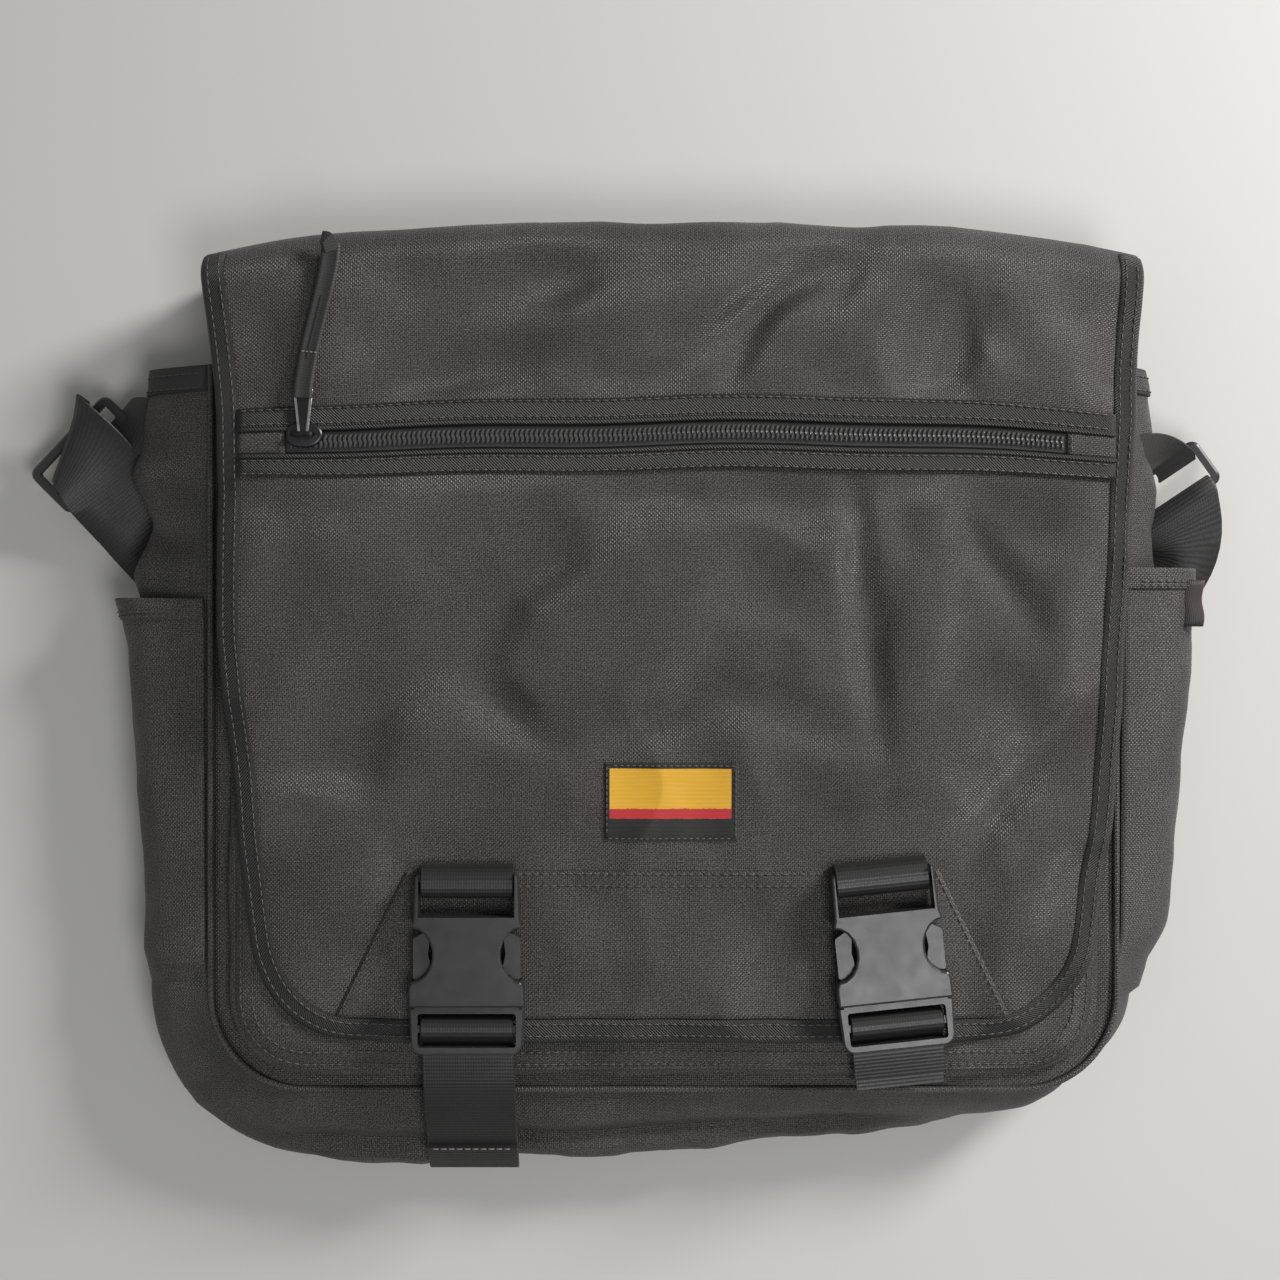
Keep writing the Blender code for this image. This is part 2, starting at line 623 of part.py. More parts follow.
def strap_route(side):
    """The middle line of the strap from its plastic fitting to the hank."""
    if side == "left":
        return [
            (-0.2500, 0.0880, 0.0105),
            (-0.2400, 0.0780, 0.0090),
            (-0.2290, 0.0665, 0.0062),
            (-0.2170, 0.0540, 0.0034),
            (-0.2060, 0.0410, 0.0018),
            (-0.1940, 0.0320, 0.0013),
            (-0.1830, 0.0290, 0.0013),
            (-0.1726, 0.0290, 0.0013),
        ]
    return [
        (0.2296, 0.0742, 0.0068),
        (0.2330, 0.0670, 0.0066),
        (0.2315, 0.0575, 0.0058),
        (0.2255, 0.0470, 0.0044),
        (0.2160, 0.0370, 0.0030),
        (0.2040, 0.0280, 0.0018),
        (0.1930, 0.0210, 0.0013),
        (0.1830, 0.0180, 0.0013),
        (0.1726, 0.0180, 0.0013),
    ]


def strap_strip(name, route, kind):
    """A strip whose width stays level and square to its middle line."""
    places = [Vector(p) for p in route]
    last = len(places) - 1

    def point(u, v):
        i = round(v * last)
        ahead = places[min(i + 1, last)] - places[max(i - 1, 0)]
        across = Vector((-ahead.y, ahead.x, 0)).normalized() * SHOULDER_WIDTH / 2
        return places[i] + across * (1 - 2 * u)

    return sheet(name, point, 1, last, SHOULDER_THICK, kind)


def loop_frame(name, place, turn, length, width, bars, thick):
    """A moulded strap fitting: an outer frame with slots between its bars, in its own frame."""
    holder = axis(name + "_axis", place, turn)
    outline = box_outline(-length / 2, length / 2, -width / 2, width / 2, 0.004)
    body = plate(name, outline, -thick / 2, thick, "buckle_plastic", holder, True)
    bevel(body, 0.0008, 1)
    rim = 0.0036
    slots = len(bars) - 1
    pitch = (width - rim) / slots
    for k in range(slots):
        low = -width / 2 + rim + k * pitch
        slot = box_outline(-length / 2 + rim, length / 2 - rim, low, low + pitch - rim, 0.001)
        cut(body, slot, -thick, thick)
    return holder


def make_shoulder_strap():
    plate("strap_hank", HANK, HANK_LOW, HANK_THICK, "webbing")
    strap_strip("strap_left", strap_route("left"), "webbing")
    strap_strip("strap_right", strap_route("right"), "webbing")
    loop_frame("strap_adjuster", (-0.2541, 0.1025, 0.0170), (0, -6, 45), 0.050, 0.026, (1, 2, 3), 0.0034)
    loop_frame("strap_ring", (0.2212, 0.0870, 0.0120), (0, -21, 35.6), 0.050, 0.022, (1, 2), 0.0036)
    left = [(-0.2340, 0.1090, 0.0300), (-0.2385, 0.1115, 0.0270), (-0.2440, 0.1140, 0.0235)]
    ribbon("strap_anchor_left", left, (0.5, 0.86, 0), 0.030, WEBBING, "webbing")
    right = [(0.2330, 0.1200, 0.0270), (0.2345, 0.1130, 0.0262), (0.2360, 0.1060, 0.0250)]
    ribbon("strap_anchor_right", right, (0.95, 0.30, 0.15), 0.016, WEBBING, "webbing")


clear_scene()
PARTS = collection("messenger_bag")
CUTTERS = collection("cutters")
make_body()
make_front_pocket()
make_side_pockets()
ROOF_AXIS = axis("flap_back_fold_axis", (0, ROOF_Y, BACK_FOLD_Z))
FLAP_AXIS = axis("flap_front_fold_axis", (0, FLAP_TOP, FRONT_FOLD_Z), parent=ROOF_AXIS)
make_flap(ROOF_AXIS, FLAP_AXIS)
SLIDER_AXIS = axis("zip_slide_axis", (SLIDER_X, ZIP_Y, PANEL_LEVEL + 0.0026), parent=FLAP_AXIS)
PULL_AXIS = axis("zip_pull_swing_axis", (SLIDER_X, ZIP_Y, PULL_AXIS_Z), parent=SLIDER_AXIS)
make_zip(FLAP_AXIS, SLIDER_AXIS, PULL_AXIS)
for SIDE, BUCKLE in BUCKLES.items():
    SPOT = (*BUCKLE["place"], BUCKLE_LEVEL)
    TURN = (0, 0, BUCKLE["turn"])
    FEMALE_FRAME = axis(f"buckle_female_{SIDE}_frame", SPOT, TURN, FLAP_AXIS)
    LATCH_FRAME = axis(f"latch_{SIDE}_release_axis", SPOT, TURN)
    make_buckle(SIDE, FEMALE_FRAME, LATCH_FRAME)
    make_anchor(SIDE, LATCH_FRAME)
make_shoulder_strap()
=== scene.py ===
"""Looks of a black canvas messenger bag that lies on its back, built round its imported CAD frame.

Lengths are in metres, in the CAD's frame: +X is the bag's width, +Y points to the fold at the top of the
flap and +Z up from the table.
"""

import math

import bmesh
import bpy
import numpy as np
from mathutils import Matrix, Vector, noise


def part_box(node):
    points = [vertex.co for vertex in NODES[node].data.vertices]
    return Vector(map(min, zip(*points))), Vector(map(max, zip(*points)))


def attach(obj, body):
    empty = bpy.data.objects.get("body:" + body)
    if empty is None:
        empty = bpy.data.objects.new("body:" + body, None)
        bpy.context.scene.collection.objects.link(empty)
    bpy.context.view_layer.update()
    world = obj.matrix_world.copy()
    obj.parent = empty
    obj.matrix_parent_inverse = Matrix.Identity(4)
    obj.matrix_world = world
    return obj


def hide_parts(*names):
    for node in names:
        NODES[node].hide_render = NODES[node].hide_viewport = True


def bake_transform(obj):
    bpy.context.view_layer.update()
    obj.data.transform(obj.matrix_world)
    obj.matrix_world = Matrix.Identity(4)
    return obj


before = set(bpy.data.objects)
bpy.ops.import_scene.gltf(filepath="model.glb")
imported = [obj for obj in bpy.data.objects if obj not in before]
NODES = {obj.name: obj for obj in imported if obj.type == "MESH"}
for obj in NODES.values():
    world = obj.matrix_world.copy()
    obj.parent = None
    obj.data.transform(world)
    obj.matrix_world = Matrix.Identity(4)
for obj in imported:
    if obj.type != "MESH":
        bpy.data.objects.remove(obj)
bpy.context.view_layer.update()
UP = Vector((0, 0, 1))

# ---------------------------------------------------------------- materials


class Value:
    """A node's output. It adds, subtracts, multiplies and compares as a number does, through Math nodes."""

    def __init__(self, graph, socket):
        self.graph = graph
        self.socket = socket

    def __add__(self, other):
        return self.graph.math("ADD", self, other)

    def __sub__(self, other):
        return self.graph.math("SUBTRACT", self, other)

    def __rsub__(self, other):
        return self.graph.math("SUBTRACT", other, self)

    def __mul__(self, other):
        return self.graph.math("MULTIPLY", self, other)

    def __gt__(self, other):
        return self.graph.math("GREATER_THAN", self, other)

    def __lt__(self, other):
        return self.graph.math("LESS_THAN", self, other)

    def __abs__(self):
        return self.graph.math("ABSOLUTE", self)

    def wave(self, length):
        """A sine of that wavelength."""
        return self.graph.math("SINE", self * (2 * math.pi / length))

    def ramp(self, low, high, start, end):
        """start at low, end at high, and in proportion between."""
        return self.graph.node("MapRange", enumerate((self, low, high, start, end)))


class Graph:
    """A short way to write a material's nodes."""

    def __init__(self, name, base, roughness):
        self.material = bpy.data.materials.new(name)
        self.material.use_nodes = True
        self.tree = self.material.node_tree
        self.dress(Base_Color=(*base, 1.0), Roughness=roughness)

    def feed(self, socket, value):
        if isinstance(value, Value):
            self.tree.links.new(value.socket, socket)
        else:
            socket.default_value = value

    def node(self, kind, inputs=(), output=0, **settings):
        """One output of a new node; inputs are pairs of a socket's name or number and its value."""
        made = self.tree.nodes.new("ShaderNode" + kind)
        for name, value in settings.items():
            setattr(made, name, value)
        for key, value in inputs:
            self.feed(made.inputs[key], value)
        return Value(self, made.outputs[output])

    def math(self, operation, *values):
        return self.node("Math", enumerate(values), operation=operation)

    def uv(self):
        """The surface's own two coordinates, in metres."""
        place = self.node("UVMap")
        return [self.node("SeparateXYZ", [(0, place)], axis) for axis in (0, 1)]

    def combine(self, x, y):
        return self.node("CombineXYZ", [(0, x), (1, y)])

    def noise(self, where, scale, detail=2.0):
        return self.node("TexNoise", [("Vector", where), ("Scale", scale), ("Detail", detail)])

    def tint(self, amount, dark, light):
        """A colour between two others, each of them three numbers or a node's output."""
        ends = [c if isinstance(c, Value) else (*c, 1.0) for c in (dark, light)]
        return self.node("Mix", zip(("Factor", "A", "B"), (amount, *ends)), "Result", data_type="RGBA")

    def dress(self, **sockets):
        """Feeds the shader's own sockets; an underscore stands for a space."""
        for name, value in sockets.items():
            self.feed(self.tree.nodes["Principled BSDF"].inputs[name.replace("_", " ")], value)

    def bump(self, height, strength, distance):
        inputs = [("Strength", strength), ("Distance", distance), ("Height", height)]
        self.dress(Normal=self.node("Bump", inputs))

    def weather(self, shade, dark, light, roughness, sheen):
        """Colour and roughness that follow a shade, and a faint cloth sheen."""
        self.dress(Base_Color=self.tint(shade, dark, light), Roughness=roughness)
        self.dress(Sheen_Weight=sheen[0], Sheen_Roughness=sheen[1])


def canvas(name, dark, light, pitch, gloss):
    """Coated plain-weave canvas: threads that go over and under, with slubs and a little wear."""
    g = Graph(name, light, gloss)
    u, v = g.uv()
    where = g.combine(u, v)
    a, b = u.wave(2 * pitch), v.wave(2 * pitch)
    over = a * b > 0.0
    weave = abs(a) * over + abs(b) * (1.0 - over)
    slub_u = g.noise(g.combine(u * 90.0, v * 1200.0), 1.0)
    slub_v = g.noise(g.combine(u * 1200.0, v * 90.0), 1.0)
    light_thread = (slub_u + slub_v) * 0.42
    shade = weave * 0.34 + light_thread + g.noise(where, 1400.0, 3.0).ramp(0.40, 0.66, -0.30, 0.60)
    shade = shade * g.noise(where, 16.0, 4.0).ramp(0.3, 0.7, 0.66, 1.15)
    roughness = shade.ramp(0.1, 1.2, gloss + 0.12, gloss - 0.10)
    g.weather(shade.ramp(0.25, 1.15, 0.0, 1.0), dark, light, roughness, (0.04, 0.45))
    g.bump(weave + light_thread * 0.7, 0.75, 0.00035)
    return g.material


def webbing(name, dark, light, rib, thread, gloss):
    """Woven nylon webbing or tape: ribs across it, crossed by fine rows of thread along it."""
    g = Graph(name, light, gloss)
    u, v = g.uv()
    where = g.combine(u, v)
    height = v.wave(rib) * 0.6 + u.wave(thread) * 0.2
    shade = height.ramp(-0.9, 0.9, 0.12, 0.42) + g.noise(where, 1100.0).ramp(0.3, 0.7, 0.0, 0.40)
    shade = shade * g.noise(where, 30.0, 3.0).ramp(0.3, 0.7, 0.6, 1.15)
    g.weather(shade, dark, light, shade.ramp(0.0, 1.0, gloss + 0.14, gloss - 0.05), (0.04, 0.4))
    g.bump(height, 0.42, 0.00014)
    return g.material


def twill(name, dark, light, pitch, gloss):
    """Folded twill tape, with its diagonal rib."""
    g = Graph(name, light, gloss)
    u, v = g.uv()
    where = g.combine(u, v)
    rib, fine = (u + v).wave(pitch), (u - v).wave(pitch / 2)
    shade = rib.ramp(-1.0, 1.0, 0.0, 0.6) + g.noise(where, 1500.0).ramp(0.35, 0.7, 0.0, 0.5)
    shade = shade * g.noise(where, 22.0, 3.0).ramp(0.3, 0.7, 0.75, 1.1)
    g.weather(shade, dark, light, shade.ramp(0.0, 1.0, gloss + 0.12, gloss - 0.05), (0.03, 0.4))
    g.bump(rib + fine * 0.3, 0.6, 0.00025)
    return g.material


def moulded(name, base, roughness, grain=0.08):
    """Moulded nylon with a fine spark-eroded grain and a few handling marks."""
    g = Graph(name, base, roughness)
    where = g.node("TexCoord", output="Object")
    marks = g.noise(where, 160.0, 4.0)
    lighter = [min(1.0, c * 1.35) for c in base]
    g.dress(Base_Color=g.tint(marks.ramp(0.35, 0.75, 0.0, 0.7), base, lighter))
    g.dress(Roughness=marks.ramp(0.3, 0.7, roughness - 0.02, roughness + 0.05))
    g.bump(g.noise(where, 1900.0), grain, 0.00012)
    return g.material


def metal(name, base, roughness):
    """Plated metal, rubbed a little duller and brighter in places."""
    g = Graph(name, base, roughness)
    rub = g.noise(g.node("TexCoord", output="Object"), 420.0, 3.0)
    g.dress(Metallic=1.0, Roughness=rub.ramp(0.3, 0.7, roughness - 0.08, roughness + 0.14))
    return g.material


CANVAS = canvas("charcoal_canvas", (0.008, 0.0075, 0.0072), (0.086, 0.080, 0.077), 0.00085, 0.47)
LINING = canvas("lining_cloth", (0.008, 0.008, 0.009), (0.030, 0.030, 0.032), 0.0005, 0.6)
PAD = canvas("back_pad_cloth", (0.006, 0.006, 0.006), (0.060, 0.057, 0.057), 0.0013, 0.75)
TAPE = twill("edge_tape", (0.004, 0.004, 0.004), (0.019, 0.018, 0.0175), 0.0013, 0.44)
WEB = webbing("belt_webbing", (0.003, 0.003, 0.003), (0.026, 0.025, 0.025), 0.0016, 0.0011, 0.40)
STRAP = webbing("strap_webbing", (0.004, 0.004, 0.004), (0.040, 0.038, 0.038), 0.0017, 0.0012, 0.48)
GROSGRAIN = webbing("grosgrain", (0.004, 0.004, 0.004), (0.034, 0.032, 0.032), 0.0012, 0.02, 0.55)
THREAD = Graph("thread", (0.060, 0.056, 0.054), 0.5).material
PALE_THREAD = Graph("worn_thread", (0.22, 0.20, 0.19), 0.6).material
PLASTIC = moulded("buckle_nylon", (0.018, 0.018, 0.019), 0.34)
COIL = moulded("coil_nylon", (0.050, 0.050, 0.050), 0.25, 0.02)
GUNMETAL = metal("gunmetal", (0.055, 0.055, 0.058), 0.38)
CHROME = metal("nickel_edge", (0.62, 0.62, 0.63), 0.22)
ENAMEL = moulded("black_enamel", (0.006, 0.006, 0.006), 0.3, 0.02)

# ---------------------------------------------------------------- mesh tools


def mesh_piece(name, points, faces, uvs, material):
    """A smooth-shaded piece from its points and faces, with a UV for each point."""
    mesh = bpy.data.meshes.new(name)
    mesh.from_pydata([tuple(p) for p in points], [], faces)
    layer = mesh.uv_layers.new(name="UVMap")
    corner = np.empty(len(mesh.loops), np.int32)
    mesh.loops.foreach_get("vertex_index", corner)
    layer.data.foreach_set("uv", np.asarray(uvs, np.float32)[corner].ravel())
    mesh.materials.append(material)
    mesh.shade_smooth()
    obj = bpy.data.objects.new(name, mesh)
    bpy.context.scene.collection.objects.link(obj)
    return obj


def smoothstep(low, high, value):
    t = min(1.0, max(0.0, (value - low) / (high - low)))
    return t * t * (3 - 2 * t)


def runs_of(line):
    """The length of a line from its start to each of its points."""
    return np.concatenate([[0], np.cumsum([(b - a).length for a, b in zip(line, line[1:])])])


def ahead_at(line, k, reach=1):
    """The way a line goes at its k-th point, between the points reach before and after it."""
    return line[min(k + reach, len(line) - 1)] - line[max(k - reach, 0)]


def quads(columns, rows):
    """The faces of a sheet whose points lie in rows of columns + 1."""
    wide = columns + 1
    corners = [j * wide + i for j in range(rows) for i in range(columns)]
    return [(a, a + 1, a + wide + 1, a + wide) for a in corners]


def thicken(obj, thick, offset=-1.0):
    solid = obj.modifiers.new("Thickness", "SOLIDIFY")
    solid.thickness = thick
    solid.offset = offset
    return solid


def soften(obj, width):
    """A small round on a hard piece's edges."""
    edge = obj.modifiers.new("Edge", "BEVEL")
    edge.width = width
    edge.segments = 2
    edge.limit_method = "ANGLE"
    edge.angle_limit = math.radians(35)


def grid(name, point, columns, rows, material, thick, uv=None):
    """A cloth sheet: point(u, v) for u and v from 0 to 1. Its UVs are lengths along its middle lines."""
    points = [[Vector(point(i / columns, j / rows)) for i in range(columns + 1)] for j in range(rows + 1)]
    flat = [p for row in points for p in row]
    if uv:
        uvs = [uv(p) for p in flat]
    else:
        run_u, run_v = runs_of(points[rows // 2]), runs_of([row[columns // 2] for row in points])
        uvs = [(a, b) for b in run_v for a in run_u]
    obj = mesh_piece(name, flat, quads(columns, rows), uvs, material)
    thicken(obj, thick)
    return obj


def smooth_line(points, step):
    """A Catmull-Rom line through points, with a place about every step."""
    points = [Vector(p) for p in points]
    made = []
    for k in range(len(points) - 1):
        p0, p1, p2 = points[max(k - 1, 0)], points[k], points[k + 1]
        p3 = points[min(k + 2, len(points) - 1)]
        count = max(1, round((p2 - p1).length / step))
        for t in [i / count for i in range(count)]:
            bend = (2 * p0 - 5 * p1 + 4 * p2 - p3) * t**2 + (3 * p1 - p0 - 3 * p2 + p3) * t**3
            made.append(0.5 * (2 * p1 + (p2 - p0) * t + bend))
    made.append(points[-1])
    return made


def even(points, step):
    """The same line with its places step apart."""
    runs = runs_of(points)
    count = max(1, round(runs[-1] / step))
    wanted = np.linspace(0, runs[-1], count + 1)
    array = np.array([tuple(p) for p in points])
    return [Vector(row) for row in np.stack([np.interp(wanted, runs, array[:, k]) for k in range(3)], 1)]


def tidy_normals(obj):
    shape = bmesh.new()
    shape.from_mesh(obj.data)
    bmesh.ops.recalc_face_normals(shape, faces=shape.faces)
    shape.to_mesh(obj.data)
    shape.free()
    obj.data.set_sharp_from_angle(angle=math.radians(50))
    return obj


def add_loft(points, faces, rings):
    """Adds the closed shape through rings of points to a mesh's points and faces."""
    first, count = len(points), len(rings[0])
    last = first + (len(rings) - 1) * count
    for ring in rings:
        points.extend(ring)
    for start in range(first, last, count):
        for i in range(count):
            j = (i + 1) % count
            faces.append((start + i, start + j, start + count + j, start + count + i))
    faces.append(tuple(range(first, first + count))[::-1])
    faces.append(tuple(range(last, last + count)))


def loft(name, rings, uvs, material):
    points, faces = [], []
    add_loft(points, faces, rings)
    return tidy_normals(mesh_piece(name, points, faces, uvs, material))


def sweep(name, line, frames, section, material, across_uvs=None, curl=None):
    """A section of (across, up) places carried along a line; curl(run, across) lifts it.

    Its UVs are lengths: across the section, or across_uvs, and along the line.
    """
    across_uvs = across_uvs or [a for a, _ in section]
    rings, uvs = [], []
    for place, (across, up), run in zip(line, frames, runs_of(line)):
        lifts = [UP * (curl(run, a) if curl else 0.0) for a, _ in section]
        rings.append([place + across * a + up * b + lift for (a, b), lift in zip(section, lifts)])
        uvs += [(u, run) for u in across_uvs]
    return loft(name, rings, uvs, material)


def frames_of(line, ups):
    """The (across, up) directions at each point of a line whose surface faces ups."""
    frames = []
    for k, facing in enumerate(ups):
        ahead = ahead_at(line, k).normalized()
        across = ahead.cross(facing).normalized()
        frames.append((across, across.cross(ahead).normalized()))
    return frames


def strip(name, line, ups, width, thick, material, edge=0.0):
    """A closed flat strap whose edges are rounded off, with selvedges that stand up by edge."""
    half, top, soft = width / 2, thick / 2, thick * 0.3
    section = [(-half, 0.0), (soft - half, top), (thick - half, top + edge), (-half / 2, top), (0.0, top)]
    section += [(half / 2, top), (half - thick, top + edge), (half - soft, top), (half, 0.0)]
    section += [(half - soft, -top), (0.0, -top), (soft - half, -top)]
    return sweep(name, line, frames_of(line, ups), section, material)


def ribbon(name, line, widths, width, thick, material, curl=None):
    """A closed flat band whose width points along widths."""
    shares = (-0.97, -0.5, 0.0, 0.5, 0.8, 0.97)
    section = [(-1.0, 0.0)] + [(a, 0.5) for a in shares]
    section += [(1.0, 0.0)] + [(a, -0.5) for a in reversed(shares)]
    section = [(a * width / 2, b * thick) for a, b in section]
    frames = [(w, ahead_at(line, k).normalized().cross(w).normalized()) for k, w in enumerate(widths)]
    return sweep(name, line, frames, section, material, curl=curl)


def tube(name, line, radius, material, count=8):
    turns = [2 * math.pi * s / count for s in range(count)]
    section = [(radius * math.cos(t), radius * math.sin(t)) for t in turns]
    frames = frames_of(line, [UP] * len(line))
    return sweep(name, line, frames, section, material, [radius * t for t in turns])


STITCH_SIDES = 6
# Shares of a stitch's length from its middle, and of its radius there
STITCH_PROFILE = ((-0.5, 0.15), (-0.42, 0.8), (0.0, 1.0), (0.42, 0.8), (0.5, 0.15))


def stitches(name, lines, material=THREAD, pitch=0.0036, share=0.74, radius=0.00034):
    """Rows of sewing, a short rounded thread for each stitch, half sunk in the cloth.

    Each of the lines is its points and the surface's normals there.
    """
    points, faces = [], []
    turns = [2 * math.pi * s / STITCH_SIDES for s in range(STITCH_SIDES)]
    for line, ups in lines:
        runs = runs_of(line)
        places, normals = (np.array([tuple(p) for p in row]) for row in (line, ups))

        def at(distance, values):
            return Vector([np.interp(distance, runs, values[:, i]) for i in range(3)])

        for k in range(int(runs[-1] / pitch)):
            centre = (k + 0.5) * pitch
            up = at(centre, normals).normalized()
            start, end = at(centre - pitch * share / 2, places), at(centre + pitch * share / 2, places)
            across = (end - start).normalized().cross(up).normalized()
            rings = []
            for t, r in STITCH_PROFILE:
                middle = (start + end) / 2 + (end - start) * t
                rings.append([middle + (across * math.cos(a) + up * math.sin(a)) * radius * r for a in turns])
            add_loft(points, faces, rings)
    return mesh_piece(name, points, faces, [(0.0, 0.0)] * len(points), material)


def round_rows(radius, count):
    """Heights up a round corner, close together at its foot."""
    return [radius * (1 - math.cos(math.radians(90 * k / count))) for k in range(count)]


# ---------------------------------------------------------------- the bag's shapes

FLAP_LEVEL = 0.0596  # top of the flap's canvas where it lies flat
FLAP_LOW = -0.147
ZIP_Y = 0.1063
CORNER_RADIUS = 0.040
SIDES_TOP = 0.19  # the flap's sides run straight up from here
TOP_RADIUS = 0.016
ROOF_Y = 0.1985

# Soft hollows and ridges of the flap and of the pocket below it:
# (x, y, half length, half width, turn in degrees, height), all in millimetres
FOLDS = [
    (-52, 175, 20, 14, 20, -3.4), (-89, 131, 30, 12, 20, -2.6), (-10, 160, 42, 13, 8, 2.2),
    (46, 165, 40, 8, 36, -3.6), (32, 143, 20, 9, 62, -2.6), (90, 163, 34, 14, 50, 2.4),
    (124, 150, 26, 10, 68, -2.8), (161, 150, 30, 14, -60, 2.2), (-140, 160, 40, 18, 75, 1.6),
    (-110, 14, 86, 17, 34, -5.0), (-27, 24, 60, 34, 35, 3.2), (-130, 58, 60, 22, 35, 2.4),
    (-68, -6, 24, 11, -42, -3.0), (-148, -32, 22, 9, 4, -3.0), (84, 38, 56, 8, 96, -3.2),
    (111, 38, 46, 11, 82, 2.8), (136, 54, 28, 8, -52, -2.2), (144, -42, 44, 10, 50, -3.8),
    (115, -21, 34, 13, 32, 2.6), (57, -12, 34, 12, -20, -2.2), (-6, -16, 20, 9, 30, -1.6),
    (165, 10, 40, 11, 80, 2.0), (18, 78, 60, 12, -4, -1.4), (-120, -62, 40, 14, 60, 1.8),
    (70, 60, 22, 10, 40, 1.6), (150, -90, 26, 10, 58, 2.0), (10, -110, 60, 16, 0, 1.4),
]
BUCKLES = {"left": ((-0.0815, -0.1130), 0.0), "right": ((0.0936, -0.1110), 6.0)}


def wrinkle(x, y):
    """How far the soft front stands above or below its flat level."""
    total = 0.0
    for cx, cy, length, width, turn, height in FOLDS:
        dx, dy = x * 1000 - cx, y * 1000 - cy
        c, s = math.cos(math.radians(turn)), math.sin(math.radians(turn))
        a, b = (dx * c + dy * s) / length, (-dx * s + dy * c) / (0.88 * width)
        if a * a + b * b < 9:
            total += 2.3 * height * math.exp(-(a * a + b * b))
    place = Vector((x, y, 0.3))
    total += 3.2 * noise.noise(place * 17) + 2.0 * noise.noise(place * 38)
    total += 0.30 * noise.noise(place * 95)
    crumpled = 0.55 + 0.45 * smoothstep(-0.10, 0.10, x)
    total += crumpled * (1.1 - 6.4 * abs(noise.noise(place * 21 + Vector((4.1, 7.7, 0)))))
    total *= 1 - 0.7 * smoothstep(0.168, 0.192, y)
    for (cx, cy), _ in BUCKLES.values():
        away = max(abs(x - cx) / 0.034, abs(y - cy + 0.004) / 0.052)
        total *= smoothstep(0.75, 1.35, away)
    beside_zip = smoothstep(0.012, 0.026, abs(y - ZIP_Y))
    total *= 0.05 + 0.95 * beside_zip
    limit = 6.2 if total < 0 else 4.2
    return limit * math.tanh(total / limit) * 0.001


def left_edge(y):
    return float(np.interp(y, [-0.147, -0.118, -0.088, -0.025, 0.021, 0.121, 0.19],
                           [-0.1690, -0.1705, -0.1750, -0.1822, -0.1862, -0.1868, -0.1935]))


def right_edge(y):
    return float(np.interp(y, [-0.147, -0.125, -0.088, -0.046, 0.024, 0.108, 0.19],
                           [0.1730, 0.1765, 0.1825, 0.1888, 0.1935, 0.1972, 0.2005]))


def sides(y):
    """The flap's left and right edge at a height, round its bottom corners too."""
    low = FLAP_LOW + CORNER_RADIUS
    tuck = 0.0
    if y < low:
        depth = min(1.0, (low - y) / CORNER_RADIUS)
        tuck = CORNER_RADIUS * (1 - math.sqrt(max(0.0, 1 - depth * depth)))
    return left_edge(y) + tuck, right_edge(y) - tuck


def arch(x):
    """How much lower the fold along the flap's top lies towards its two corners."""
    return 0.0135 * abs((x - 0.003) / 0.197) ** 3.2


PROFILE_TOP = ROOF_Y - TOP_RADIUS
ARC = TOP_RADIUS * math.pi / 2
ROOF_LENGTH = FLAP_LEVEL - TOP_RADIUS - 0.0015


def flap_place(x, s, lift=0.0):
    """A point over the flap's outer face.

    s is the length from its bottom edge, up over the fold and down the back.
    """
    y = FLAP_LOW + s
    dent = wrinkle(x, min(y, 0.197))
    if y <= PROFILE_TOP:
        base, out = Vector((x, y, FLAP_LEVEL)), Vector((0, 0, 1))
    elif y <= PROFILE_TOP + ARC:
        turn = (y - PROFILE_TOP) / TOP_RADIUS
        out = Vector((0, math.sin(turn), math.cos(turn)))
        base = Vector((x, PROFILE_TOP, FLAP_LEVEL - TOP_RADIUS)) + out * TOP_RADIUS
    else:
        down = y - PROFILE_TOP - ARC
        base, out = Vector((x, ROOF_Y, FLAP_LEVEL - TOP_RADIUS - down)), Vector((0, 1, 0))
        dent *= smoothstep(0.0, 0.02, base.z) * 0.6
    base.y -= arch(x) * smoothstep(0.05, 0.19, base.y)
    low, high = sides(min(y, SIDES_TOP))
    rim = max(0.0, 1 - min(x - low, high - x) / 0.022)
    sag = 0.0024 * rim * rim * (1 - smoothstep(0.15, 0.19, base.y))
    return base + out * (dent + lift - sag)


def flap_up(x, s):
    """The surface normal there."""
    step = 0.002
    across = flap_place(x + step, s) - flap_place(x - step, s)
    along = flap_place(x, s + step) - flap_place(x, s - step)
    return across.cross(along).normalized()


def on_flap(x, y, lift=0.0):
    return flap_place(x, y - FLAP_LOW, lift)


def flap_line(places, lift):
    """A line on the flap through (x, y) places, with its surface normals."""
    return [on_flap(x, y, lift) for x, y in places], [flap_up(x, y - FLAP_LOW) for x, y in places]



def flap_piece(name, lengths, columns=170):
    """The flap's canvas over these lengths from its bottom edge, with its lining."""
    points, uvs = [], []
    for s in lengths:
        low, high = sides(min(FLAP_LOW + s, SIDES_TOP))
        for x in [low + (high - low) * i / columns for i in range(columns + 1)]:
            points.append(flap_place(x, s))
            uvs.append((x, s))
    obj = mesh_piece(name, points, quads(columns, len(lengths) - 1), uvs, CANVAS)
    obj.data.materials.append(LINING)
    solid = thicken(obj, 0.0022)
    solid.material_offset = 1
    solid.material_offset_rim = 0
    return obj


